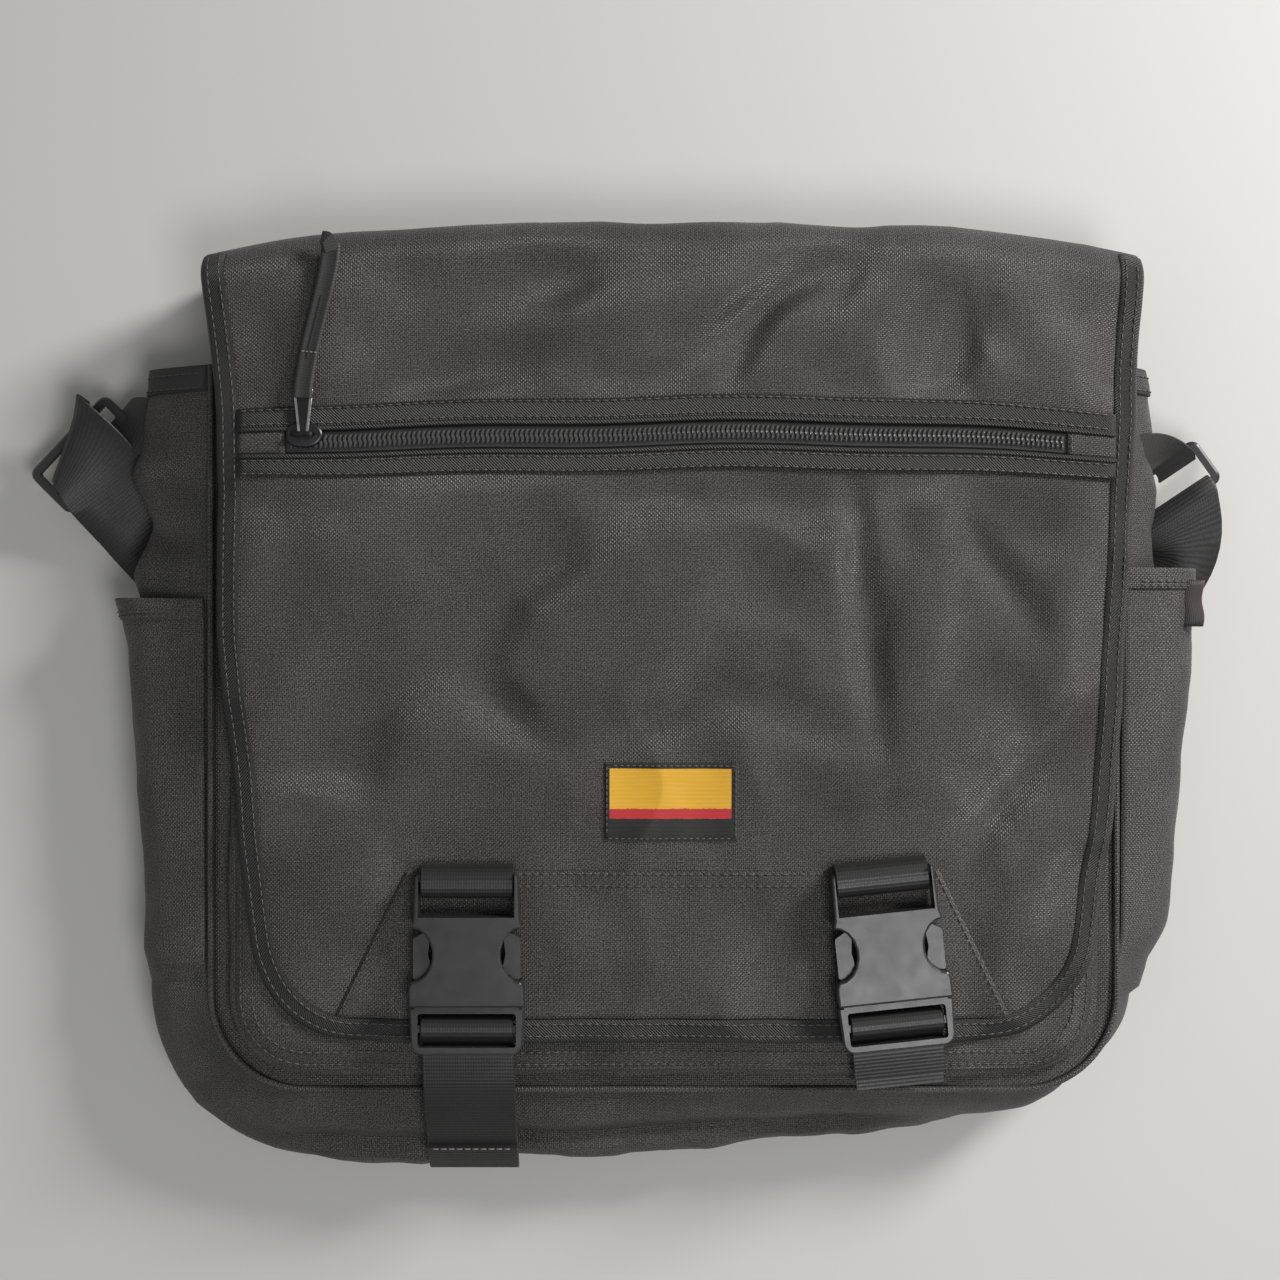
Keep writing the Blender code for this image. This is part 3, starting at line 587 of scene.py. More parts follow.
def make_flap():
    """The flap in two pieces that meet halfway down the roof."""
    total = PROFILE_TOP - FLAP_LOW + ARC + ROOF_LENGTH
    split = total - 0.028
    rows, body_rows = round_rows(CORNER_RADIUS, 14), 126
    rows += [CORNER_RADIUS + (split - CORNER_RADIUS) * k / body_rows for k in range(body_rows + 1)]
    front = flap_piece("flap_cloth", rows)
    back = flap_piece("flap_back_cloth", [split + (total - split) * k / 12 for k in range(13)])
    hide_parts("flap_upper_panel", "flap_main_panel", "flap_lining")
    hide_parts("flap_roof")
    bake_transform(front)
    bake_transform(back)


EDGE_STEP = 0.003
TAPE_WIDTH = 0.0092
# The tape's section: the share of its width in from the edge, and the height over the canvas
TAPE_SECTION = [
    (1.0, 0.00035), (0.93, 0.0010), (0.66, 0.00115), (0.40, 0.00095), (0.14, 0.0012), (0.0, 0.0009),
    (-0.10, -0.0004), (-0.10, -0.0020), (0.0, -0.0034), (0.4, -0.0036), (1.0, -0.0036), (1.0, -0.0026),
    (0.12, -0.0024), (0.12, -0.0002), (0.95, -0.0002),
]


def corner_place(side, angle):
    """A place on the bottom corner's arc: angle 0 is at its side, 90 degrees at the bottom edge."""
    y = FLAP_LOW + CORNER_RADIUS * (1 - math.sin(angle))
    inset = CORNER_RADIUS * (1 - math.cos(angle))
    return (left_edge(y) + inset, y) if side < 0 else (right_edge(y) - inset, y)


def edge_route(inset, top):
    """Places along the flap's edge from its top left, round the bottom, to its top right."""
    corner = FLAP_LOW + CORNER_RADIUS
    turn = [math.radians(90 * k / 16) for k in range(17)]
    places = [(sides(y)[0], y) for y in np.arange(top, corner, -EDGE_STEP)]
    places += [corner_place(-1, a) for a in turn]
    places += [corner_place(1, a) for a in reversed(turn)]
    places += [(sides(y)[1], y) for y in np.arange(corner + EDGE_STEP, top, EDGE_STEP)]
    line = even([Vector((x, y, 0)) for x, y in places], EDGE_STEP)
    made = []
    for k, p in enumerate(line):
        ahead = ahead_at(line, k).normalized()
        made.append((p.x - ahead.y * inset, p.y + ahead.x * inset))
    return made


def make_edge_tape():
    """The tape folded round the flap's edge: a U in section, crowned over the edge, sewn with two rows."""
    outer, inner = ([Vector((*p, 0)) for p in edge_route(inset, 0.197)] for inset in (0.0, TAPE_WIDTH))
    rings, uvs = [], []
    for edge, inside, run in zip(outer, inner, runs_of(outer)):
        wobble = 0.0003 * noise.noise(Vector((run * 60, 0, 0)))
        ring = []
        for share, level in TAPE_SECTION:
            p = edge.lerp(inside, share)
            ring.append(on_flap(p.x, p.y, level + (wobble if level > 0 else 0)))
            uvs.append((share * TAPE_WIDTH, run))
        rings.append(ring)
    tape = loft("flap_edge_tape", rings, uvs, TAPE)
    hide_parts("flap_binding_left", "flap_binding_right", "flap_binding_bottom")
    rows = [flap_line(edge_route(inset, 0.195), 0.00125) for inset in (0.0022, 0.0070)]
    sewing = stitches("flap_edge_stitches", rows)
    for obj in (tape, sewing):
        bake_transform(obj)


# ---------------------------------------------------------------- zip, foot panel and patch

ZIP_LEFT, ZIP_RIGHT = -0.1785, 0.1888
COIL_LEFT, COIL_RIGHT = -0.157, 0.167
COIL_PITCH = 0.00205
COIL_SIDES = 6
# One loop of the coil: distance from the zip's middle, height, radius and lean along the zip
COIL_LOOP = [
    (-0.0007, 0.0009, 0.00045, 0.0), (0.0002, 0.00115, 0.00072, 0.0), (0.0014, 0.00125, 0.00066, 0.0),
    (0.0026, 0.0009, 0.00062, 0.0004), (0.0033, 0.0003, 0.00040, 0.0004),
]


def zip_wave(x):
    """The zip isn't quite straight."""
    return ZIP_Y + 0.0009 * math.sin(x * 21 + 0.6) + 0.0005 * math.sin(x * 57)


def flat_band(name, left, right, low, high, lift, thick, material):
    """A strip of tape sewn flat on the flap; low and high are measured from the zip's line."""

    def point(u, v):
        x = left + (right - left) * u
        rounded = 0.00045 * (1 - (2 * v - 1) ** 4)
        return on_flap(x, zip_wave(x) + low + (high - low) * v, lift + rounded)

    return grid(name, point, max(8, round((right - left) / 0.003)), 6, material, thick)


def make_coil():
    """The two rows of nylon loops, one a quarter of a pitch along from the other."""
    points, faces, uvs = [], [], []
    turns = [2 * math.pi * s / COIL_SIDES for s in range(COIL_SIDES)]
    for k in range(int((COIL_RIGHT - COIL_LEFT) / COIL_PITCH)):
        for half, offset in ((1, 0.0), (-1, 0.25)):
            x = COIL_LEFT + (k + 0.5 + offset) * COIL_PITCH
            up = flap_up(x, zip_wave(x) - FLAP_LOW)
            rings = []
            for y, level, radius, lean in COIL_LOOP:
                middle = on_flap(x + lean * half, zip_wave(x) + half * y, level)
                across = [(Vector((math.cos(a), 0, 0)), up * math.sin(a)) for a in turns]
                rings.append([middle + a * radius + b * radius for a, b in across])
                uvs += [(x, y)] * COIL_SIDES
            add_loft(points, faces, rings)
    return tidy_normals(mesh_piece("zip_coil", points, faces, uvs, COIL))


def make_zip():
    """Tapes, lips and chain of the zip, its coil, its end tabs and its sewing."""
    ends, chain = (ZIP_LEFT, ZIP_RIGHT), (COIL_LEFT - 0.003, COIL_RIGHT + 0.003)
    bands = [
        ("zip_tape_upper", *ends, 0.0052, 0.0158, 0.0011, 0.0014, TAPE, "zip_binding_upper"),
        ("zip_tape_lower", *ends, -0.0152, -0.0054, 0.0011, 0.0014, TAPE, "zip_binding_lower"),
        ("zip_lip_upper", *ends, 0.0050, 0.0071, 0.0019, 0.0012, TAPE, None),
        ("zip_lip_lower", *ends, -0.0073, -0.0052, 0.0019, 0.0012, TAPE, None),
        ("zip_chain_tape", *chain, -0.0056, 0.0056, 0.0001, 0.0006, GROSGRAIN, None),
        ("zip_end_left", ZIP_LEFT, -0.1583, -0.0056, 0.0056, 0.0010, 0.0012, CANVAS, "zip_end_tab_left"),
        ("zip_end_right", 0.1683, ZIP_RIGHT, -0.0056, 0.0056, 0.0010, 0.0012, CANVAS, "zip_end_tab_right"),
    ]
    pieces = []
    for *measures, node in bands:
        band = flat_band(*measures)
        pieces.append(band)
        if node:
            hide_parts(node)
    coil = make_coil()
    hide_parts("zip_chain")
    rows = []
    for offset in (0.0083, 0.0148, -0.0084, -0.0142):
        xs = np.arange(ZIP_LEFT + 0.001, ZIP_RIGHT - 0.001, 0.004)
        rows.append(flap_line([(x, zip_wave(x) + offset) for x in xs], 0.00165))
    for x in (-0.1602, 0.1702):
        rows.append(flap_line([(x, ZIP_Y + y) for y in np.arange(-0.0052, 0.0054, 0.002)], 0.0014))
    for obj in (*pieces, coil, stitches("zip_stitches", rows)):
        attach(obj, "flap")


def between(a, b, count):
    """Places spaced evenly from a to b."""
    return [(a[0] + (b[0] - a[0]) * t, a[1] + (b[1] - a[1]) * t) for t in np.linspace(0, 1, count)]


FOOT_TOP, FOOT_LOW = -0.0754, -0.1375


def make_lower_panel():
    """The double layer at the foot of the flap, a low trapezoid, and its sewing."""
    top_left, top_right = (-0.108, FOOT_TOP), (0.115, FOOT_TOP)
    low_left, low_right = (-0.1385, FOOT_LOW), (0.1450, FOOT_LOW)

    def point(u, v):
        left = low_left[0] + (top_left[0] - low_left[0]) * v
        right = low_right[0] + (top_right[0] - low_right[0]) * v
        edge = min(u * 280, (1 - u) * 280, (1 - v) * 64, 1.0)
        lift = 0.0001 + 0.0009 * math.sqrt(max(edge, 0))
        return on_flap(left + (right - left) * u, FOOT_LOW + (FOOT_TOP - FOOT_LOW) * v, lift)

    panel = grid("flap_foot_panel", point, 110, 30, CANVAS, 0.0012, lambda p: (p.x + 0.4, p.y + 0.3))
    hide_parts("flap_lower_panel")
    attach(panel, "flap")
    lines = [[(x, FOOT_TOP - inset) for x in np.arange(-0.106, 0.114, 0.004)] for inset in (0.0016, 0.0066)]
    for top, low, inset in ((top_left, low_left, 0.0018), (top_right, low_right, -0.0018)):
        lines.append([(x + inset, y) for x, y in between(top, low, 20)])
    rows = [flap_line(line, 0.00115) for line in lines]
    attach(stitches("flap_foot_stitches", rows), "flap")


PATCH_LEFT, PATCH_LOW = -0.025, -0.0633
PATCH_WIDE, PATCH_HIGH = 0.056, 0.0326


def woven_bands():
    """A black border round plain bands of colour, in the patch's own lengths."""
    gold, red, black, border = (0.62, 0.34, 0.020), (0.42, 0.018, 0.022), (0.008, 0.008, 0.008), (0.010,) * 3
    g = Graph("woven_bands", (0.5, 0.3, 0.02), 0.6)
    u, v = g.uv()
    rough = g.noise(g.combine(u, v), 900.0)
    wavy = v + (rough - 0.5) * 0.0009
    bands = g.tint(wavy > 0.0138, g.tint(wavy > 0.0096, black, red), gold)
    edge = g.math("MAXIMUM", abs(u - 0.028) > 0.0255, abs(v - 0.0163) > 0.0142)
    g.dress(Base_Color=g.tint(edge, bands, border), Sheen_Weight=0.15, Sheen_Roughness=0.4)
    g.bump(v.wave(0.00055) + rough, 0.5, 0.00015)
    return g.material


def make_patch():
    """A woven label, sewn on all round."""

    def point(u, v):
        edge = min(u * 56, (1 - u) * 56, v * 32, (1 - v) * 32) / 1.2
        lift = 0.0003 + 0.0008 * math.sqrt(min(1.0, max(0.0, edge)))
        return on_flap(PATCH_LEFT + PATCH_WIDE * u, PATCH_LOW + PATCH_HIGH * v, lift)

    patch = grid("woven_label", point, 56, 32, woven_bands(), 0.0007)
    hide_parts("woven_patch")
    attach(patch, "flap")
    inset = 0.0011
    left, right = PATCH_LEFT + inset, PATCH_LEFT + PATCH_WIDE - inset
    low, high = PATCH_LOW + inset, PATCH_LOW + PATCH_HIGH - inset
    loop = [(left, low), (right, low), (right, high), (left, high), (left, low)]
    rows = [flap_line(between(a, b, 14), 0.00125) for a, b in zip(loop, loop[1:])]
    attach(stitches("woven_label_stitches", rows, pitch=0.0026), "flap")


# ---------------------------------------------------------------- body


class Outline:
    """An outline with rounded lower corners: down its left side, across its foot and up its right."""

    def __init__(self, half, foot, bend, top):
        self.half, self.foot, self.bend, self.top = half, foot, bend, top
        self.side = top - foot - bend
        self.arc = bend * math.pi / 2
        self.length = 2 * self.side + 2 * self.arc + 2 * (half - bend)

    def at(self, distance):
        """The place and outward direction at a distance along it."""
        if distance > self.length / 2:
            place, out = self.at(self.length - distance)
            return Vector((-place.x, place.y)), Vector((-out.x, out.y))
        if distance <= self.side:
            return Vector((-self.half, self.top - distance)), Vector((-1, 0))
        if distance <= self.side + self.arc:
            turn = (distance - self.side) / self.bend
            out = Vector((-math.cos(turn), -math.sin(turn)))
            return Vector((self.bend - self.half, self.foot + self.bend)) + self.bend * out, out
        return Vector((self.bend - self.half + distance - self.side - self.arc, self.foot)), Vector((0, -1))

    def reach(self, y):
        """Half its width at a height."""
        depth = min(1.0, max(0.0, self.foot + self.bend - y) / self.bend)
        return self.half - self.bend * (1 - math.sqrt(1 - depth * depth))

    def near(self, x, y):
        """How far a place is from its edge."""
        return min(self.reach(y) - abs(x), y - self.foot)

    def points(self, step, columns, place):
        """place(x, y) in rows over the whole of it, and a UV for each."""
        points, uvs = [], []
        heights = [self.foot + h for h in round_rows(self.bend, 12)]
        count = max(1, round(self.side / step))
        heights += [self.foot + self.bend + self.side * k / count for k in range(count + 1)]
        for y in heights:
            for x in [self.reach(y) * (2 * i / columns - 1) for i in range(columns + 1)]:
                points.append(Vector(place(x, y)))
                uvs.append((x + 0.3, y + 0.3))
        return points, uvs


BAG = Outline(0.192, -0.1698, 0.040, 0.138)
POCKET = Outline(0.1805, -0.1605, 0.030, 0.100)
BACK_PAD = Outline(0.1914, -0.1692, 0.040, 0.1955)


def fullness(place):
    """How far the gusset bulges at a place on its seam.

    It is pinched above the side pockets and fuller at the lower left.
    """
    x, y = place.x, place.y
    if y > -0.13:
        if x < 0:
            bulge = np.interp(y, [-0.13, -0.05, 0.02, 0.048, 0.062, 0.090, 0.112, 0.138],
                              [30, 30, 31, 35, 33, 36, 34, 30])
        else:
            bulge = np.interp(y, [-0.13, -0.10, -0.05, 0.03, 0.06, 0.085, 0.105, 0.138],
                              [15, 22, 26, 25, 20.5, 22, 22.4, 17])
    else:
        bulge = np.interp(x, [-0.19, -0.15, -0.105, 0.0, 0.09, 0.15, 0.19], [30, 35, 38, 32, 24, 15, 15])
        if x > 0.14:
            bulge -= 9 * math.exp(-((x - 0.178) / 0.016) ** 2)
    return float(bulge) * 0.001


def gusset_place(distance, v, more=0.0):
    """A point over the gusset's outside: v runs from the back seam to the front seam."""
    place, out = BAG.at(min(max(distance, 0.0), BAG.length))
    bulge = fullness(place)
    lean = 0.10 if place.y < -0.12 else 0.04
    shape = math.sin(math.pi * v ** (1 + lean))
    low, high = 0.0052, 0.0452
    rise, slope = high - low, bulge * math.pi * math.cos(math.pi * v)
    size = math.hypot(rise, slope)
    crease = noise.noise(Vector((distance * 16, v * 1.6, 3.1))) * 2.6
    crease += noise.noise(Vector((distance * 48, v * 3.1, 8.4))) * 1.1
    crease += noise.noise(Vector((distance * 110, v * 7, 1.7))) * 0.35
    crease *= 1.0 + 1.6 * math.exp(-((place.y - 0.075) / 0.040) ** 2)
    if place.x < 0:
        for level, slant, height in ((0.094, 0.020, 3.2), (0.070, -0.024, -4.2), (0.052, 0.016, 2.6)):
            crease += height * math.exp(-((place.y - level - slant * (v - 0.6)) / 0.0075) ** 2)
    if place.y < BAG.foot + 0.012:
        middle = smoothstep(-0.175, -0.14, place.x) * (1 - smoothstep(0.06, 0.12, place.x))
        crease = 1.7 * crease - 7.5 * math.exp(-((v - 0.76) / 0.05) ** 2) * middle
    more += crease * 0.001 * math.sin(math.pi * min(1, max(0, v))) ** 0.7
    reach = bulge * shape + more * rise / size
    return Vector((*(place + out * reach), low + rise * v - more * slope / size))


def line_on(place, spots, lift):
    """A line of stitches over a surface place(a, b), with its normals, found by small steps."""
    line, ups = [], []
    for a, b in spots:
        here = place(a, b)
        da = place(a + 0.002, b) - place(a - 0.002, b)
        db = place(a, min(1.0, b + 0.03)) - place(a, max(0.0, b - 0.03))
        up = da.cross(db).normalized()
        line.append(here + up * lift)
        ups.append(up)
    return line, ups


def make_gussets():
    """The bag's sides and bottom, the tape over the top of each side, and the sewing."""
    left, right = BAG.top + 0.100, BAG.length - BAG.top - 0.100
    stretches = (
        ("gusset_cloth_left", "gusset_left", 0.0, left, 90),
        ("bottom_cloth", "bottom_panel", left, right, 200),
        ("gusset_cloth_right", "gusset_right", right, BAG.length, 90),
    )
    for name, node, start, end, columns in stretches:
        point = lambda u, v: gusset_place(start + (end - start) * u, v)
        cloth = grid(name, point, columns, 30, CANVAS, 0.0014)
        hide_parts(node)
        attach(cloth, "bag")
    rows = []
    for at in (left - 0.002, right + 0.002):
        rows.append(line_on(gusset_place, [(at, v) for v in np.linspace(0.05, 0.95, 24)], 0.0004))
    for at in (0.0095, BAG.length - 0.0095, 0.0035, BAG.length - 0.0035):
        spots = [(at, v) for v in np.linspace(0.04, 0.96, 24)]
        rows.append(line_on(lambda a, b: gusset_place(a, b, 0.0012), spots, 0.0004))
    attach(stitches("gusset_stitches", rows), "bag")
    width = 0.011
    for side, start in (("left", 0.0), ("right", BAG.length - width)):
        point = lambda u, v: gusset_place(start + width * u, 0.02 + 0.96 * v, 0.0013)
        band = grid("mouth_tape_" + side, point, 5, 26, TAPE, 0.0010)
        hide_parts("mouth_binding_" + side)
        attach(band, "bag")


PANEL_COLUMNS = 110


def panel(name, outline, level):
    """A flat panel of canvas with rounded lower corners, over a level(x, y)."""
    points, uvs = outline.points(0.004, PANEL_COLUMNS, lambda x, y: (x, y, level(x, y)))
    rows = len(points) // (PANEL_COLUMNS + 1) - 1
    obj = mesh_piece(name, points, quads(PANEL_COLUMNS, rows), uvs, CANVAS)
    thicken(obj, 0.0012)
    return obj


FRONT_LEVEL = 0.0452


def front_level(x, y):
    return FRONT_LEVEL + 0.0006 * noise.noise(Vector((x, y, 0)) * 40) - 0.0004 * (BAG.near(x, y) < 0.001)


def pocket_level(x, y):
    """The front pocket's face, which follows the flap's folds and falls off round its edge."""
    fall = 1 - smoothstep(0.0, 0.012, POCKET.near(x, y))
    return 0.0556 + 0.75 * min(wrinkle(x, y), 0.0012) - 0.0030 * fall * fall


def pocket_hem(u, v):
    x = -0.180 + 0.36 * u
    return Vector((x, 0.0925 + 0.0078 * v, pocket_level(x, 0.0925) + 0.0007))


def bellows(u, v):
    """The pleat between the front panel and the pocket's face."""
    run, foot = POCKET.length * u, 0.0460
    place, out = POCKET.at(run)
    x = math.copysign(min(abs(place.x), 0.1804), place.x)
    top = pocket_level(x, max(place.y, POCKET.foot)) - 0.0006
    bulge = 0.0036 * math.sin(math.pi * v) * (1 + 0.5 * noise.noise(Vector((run * 30, v * 2, 5))))
    return Vector((*(place + out * (bulge - 0.0004)), foot + (top - foot) * v))


def front_rows():
    """The sewing round the pocket's edge, at its lower left and along its hem."""
    rows = []
    for inset in (0.0022, 0.0078):
        seam = [POCKET.at(POCKET.length * (k + 0.5) / 170) for k in range(170)]
        places = [place - out * inset for place, out in seam]
        rows.append([Vector((p.x, p.y, pocket_level(p.x, p.y) + 0.0003)) for p in places])
    foot, hem = np.linspace(-0.178, -0.148, 10), np.linspace(-0.176, 0.176, 60)
    rows.append([Vector((x, -0.141, pocket_level(x, -0.141) + 0.0003)) for x in foot])
    rows.append([Vector((x, 0.0955, pocket_level(x, 0.0925) + 0.0011)) for x in hem])
    return [(line, [UP] * len(line)) for line in rows]


def make_front():
    """The front panel, the pocket on it with its pleat and hem, and the welts of both long seams."""
    front = panel("front_cloth", BAG, front_level)
    pocket = panel("front_pocket_cloth", POCKET, pocket_level)
    hem = grid("front_pocket_tape", pocket_hem, 90, 3, TAPE, 0.0006)
    pleat = grid("front_pocket_pleat", bellows, 200, 8, CANVAS, 0.0009)
    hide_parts("front_panel")
    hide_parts("front_pocket_face")
    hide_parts("front_pocket_hem")
    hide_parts("front_pocket_bellows")
    pieces = [front, pocket, hem, pleat, stitches("front_stitches", front_rows())]
    for name, level in (("front_seam_welt", 0.0458), ("back_seam_welt", 0.0064)):
        seam = [BAG.at(distance) for distance in np.linspace(0, BAG.length, 240)]
        line = [Vector((*(place + out * 0.0008), level)) for place, out in seam]
        line = [p + UP * 0.0006 * noise.noise(p * 30) for p in line]
        pieces.append(tube(name, line, 0.0014, CANVAS))
    for obj in pieces:
        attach(obj, "bag")


# Each side pocket's mouth and foot, from the bag's mouth down and up, and how far it stands open
SIDE_POCKETS = {"left": (0.038, 0.128, 0.0085), "right": (0.051, 0.118, 0.0075)}


def make_side_pockets():
    """A pocket on each gusset that stands a little open, its hem sewn with two rows."""
    for side, (mouth, foot, room) in SIDE_POCKETS.items():
        left = side == "left"
        start, end = BAG.top - mouth, BAG.top + foot

        def place(distance, v, more=0.0):
            u = min(1.0, max(0.0, (distance - start) / (end - start)))
            swell = math.sin(math.pi * v)
            stand = room * swell * (1 - u) ** 0.6
            beside = Vector((-0.192 if left else 0.192, BAG.top - distance))
            fill = max(0.0, (0.030 - fullness(beside)) * (1 - u) * 0.9)
            close = 0.0019 - 0.0022 * smoothstep(0.9, 1.0, u)
            where = distance if left else BAG.length - distance
            return gusset_place(where, 0.03 + 0.94 * v, close + stand + fill * swell + more)

        def sheet(name, low, high, more, columns, thick):
            point = lambda u, v: place(low + (high - low) * (u if left else 1 - u), v, more)
            return grid(name + side, point, columns, 30, CANVAS, thick)

        pocket = sheet("side_pocket_cloth_", start, end, 0.0, 70, 0.0012)
        hem = sheet("side_pocket_hem_cloth_", start - 0.0006, start + 0.0085, 0.0007, 6, 0.0010)
        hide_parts("side_pocket_" + side)
        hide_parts("side_pocket_hem_" + side)
        rows = []
        for at in (start + 0.0052, start + 0.0070):
            spots = [(at, v) for v in np.linspace(0.10, 0.93, 30)]
            line, ups = line_on(lambda a, b: place(a, b, 0.0009), spots, 0.0)
            ups = [up * (1 if left else -1) for up in ups]
            rows.append(([p + up * 0.0002 for p, up in zip(line, ups)], ups))
        for obj in (pocket, hem, stitches("side_pocket_stitches_" + side, rows)):
            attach(obj, "bag")


def label_ribbon():
    """Black ribbon with a fine red stripe across it, near the tab's fold."""
    g = Graph("label_ribbon", (0.02, 0.018, 0.018), 0.6)
    v = g.uv()[1]
    edge = abs(v - 0.0112) < 0.0006
    g.dress(Base_Color=g.tint(edge, (0.016, 0.015, 0.015), (0.17, 0.03, 0.04)))
    g.bump(v.wave(0.0008), 0.5, 0.0001)
    return g.material


def make_label_tab():
    """A folded ribbon tab sewn into the right side pocket's edge."""
    low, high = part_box("pocket_label_tab")
    y = (low.y + high.y) / 2 + 0.016
    line = smooth_line([(x, y, z) for x, z in (
        (low.x - 0.002, high.z - 0.0016), (low.x + 0.002, high.z + 0.0002), (high.x - 0.002, high.z - 0.0002),
        (high.x, high.z - 0.0016), (high.x - 0.002, high.z - 0.0028), (low.x + 0.001, high.z - 0.0030),
    )], 0.0008)
    points, uvs = [], []
    width, columns = 0.0200, 8
    for p, run in zip(line, runs_of(line)):
        for j in range(columns + 1):
            points.append(p + Vector((0.0006 * math.sin(j), (j / columns - 0.5) * width, 0)))
            uvs.append((j / columns * width, run))
    tab = mesh_piece("label_tab_ribbon", points, quads(columns, len(line) - 1), uvs, label_ribbon())
    thicken(tab, 0.0005, 0)
    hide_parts("pocket_label_tab")
    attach(tab, "bag")


# ---------------------------------------------------------------- shoulder strap

STRAP_WIDTH = 0.040
STRAP_ROUTE = [
    (-0.2581, 0.1064, 0.0160), (-0.2614, 0.1092, 0.0206), (-0.2590, 0.1070, 0.0246),
    (-0.2505, 0.0975, 0.0246), (-0.2415, 0.0850, 0.0190), (-0.2320, 0.0730, 0.0125),
    (-0.2220, 0.0605, 0.0066), (-0.2120, 0.0490, 0.0030), (-0.2010, 0.0395, 0.0016),
    (-0.1850, 0.0290, 0.0012), (-0.1400, 0.0170, 0.0011), (-0.0700, -0.0016, 0.0011),
    (0.0, -0.0202, 0.0011), (0.0700, -0.0388, 0.0011), (0.1300, -0.0547, 0.0011),
    (0.1540, -0.0610, 0.0012), (0.1572, -0.0619, 0.0020), (0.1540, -0.0622, 0.0029),
    (0.1300, -0.0650, 0.0029), (0.0700, -0.0722, 0.0029), (0.0, -0.0808, 0.0029),
    (-0.0700, -0.0895, 0.0029), (-0.1280, -0.0966, 0.0029), (-0.1520, -0.0990, 0.0030),
    (-0.1552, -0.0993, 0.0038), (-0.1520, -0.0985, 0.0047), (-0.1280, -0.0900, 0.0047),
    (-0.0700, -0.0696, 0.0047), (0.0, -0.0450, 0.0047), (0.0700, -0.0203, 0.0047),
    (0.1300, 0.0008, 0.0047), (0.1600, 0.0105, 0.0038), (0.1850, 0.0200, 0.0018),
    (0.2030, 0.0300, 0.0020), (0.2160, 0.0410, 0.0036), (0.2245, 0.0530, 0.0070),
    (0.2288, 0.0650, 0.0120), (0.2284, 0.0740, 0.0156), (0.2272, 0.0785, 0.0160),
    (0.2245, 0.0825, 0.0140),
]
STRAP_HELD = ((0.35, 0.94, 0.0), (-0.758, -0.545, -0.359))


def strap_line():
    """The strap's middle line and the direction of its width at each place."""
    line = even(smooth_line(STRAP_ROUTE, 0.0015), 0.003)
    widths, before = [], Vector((0.7, 0.7, 0.0))
    for k in range(len(line)):
        ahead = ahead_at(line, k, 2)
        flat = Vector((ahead.x, ahead.y, 0))
        across = before
        if flat.length > 0.002:
            across = Vector((-flat.y, flat.x, 0)).normalized()
            if across.dot(before) < 0:
                across = -across
        before = (before * 0.6 + across * 0.4).normalized()
        widths.append(before.copy())
    for k in range(len(line)):
        for held, far in ((STRAP_HELD[0], k), (STRAP_HELD[1], len(line) - 1 - k)):
            share = 1 - smoothstep(2, 13, far)
            widths[k] = (widths[k] * (1 - share) + Vector(held).normalized() * share).normalized()
    return line, widths


def make_shoulder_strap():
    line, widths = strap_line()

    def curl(run, across):
        a = across / (STRAP_WIDTH / 2)
        raised = 0.0085 * (1 - smoothstep(0.010, 0.060, run)) * max(0.0, a) ** 2
        return raised + 0.0010 * math.sin(run * 150) * a * (1 - smoothstep(0.05, 0.08, run))

    anchors = make_strap_anchors()
    strap = ribbon("shoulder_strap", line, widths, STRAP_WIDTH, 0.0014, STRAP, curl)
    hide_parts("strap_left", "strap_right", "strap_hank")
    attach(strap, "bag")
    length = round(sum((b - a).length for a, b in zip(line, line[1:])), 2)


# Each anchor's route, the direction of its width where it starts and ends, and that width
ANCHORS = {
    "left": (
        [(-0.2130, 0.1080, 0.0300), (-0.2230, 0.1130, 0.0270), (-0.2330, 0.1165, 0.0225),
         (-0.2405, 0.1175, 0.0180), (-0.2440, 0.1150, 0.0158), (-0.2450, 0.1120, 0.0140)],
        (0.40, 0.91, 0.0), (0.62, 0.78, 0.0), 0.026,
    ),
    "right": (
        [(0.2040, 0.1005, 0.0330), (0.2120, 0.1015, 0.0300), (0.2185, 0.1015, 0.0252),
         (0.2225, 0.1008, 0.0212), (0.2262, 0.0985, 0.0185), (0.2280, 0.0960, 0.0150)],
        (0.25, 0.95, 0.1), (0.758, 0.545, 0.359), 0.019,
    ),
}


def make_strap_anchors():
    """The short webbing lengths that hold the adjuster and the ring to the gussets."""
    made = []
    for side, (route, first, last, width) in ANCHORS.items():
        line = smooth_line(route, 0.0012)
        first, last = Vector(first).normalized(), Vector(last).normalized()
        shares = [smoothstep(0.2, 0.75, k / (len(line) - 1)) for k in range(len(line))]
        widths = [(first * (1 - share) + last * share).normalized() for share in shares]
        hold = ribbon("strap_anchor_cloth_" + side, line, widths, width, 0.0015, STRAP)
        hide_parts("strap_anchor_" + side)
        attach(hold, "bag")
        made.append(hold)
    return made


def distance_to(segments, x, y):
    """How far a place is from the nearest of some segments."""
    here, best = Vector((x, y)), 1.0
    for a, b in segments:
        t = min(1.0, max(0.0, (here - a).dot(b - a) / (b - a).length_squared))
        best = min(best, (here - a - (b - a) * t).length)
    return best


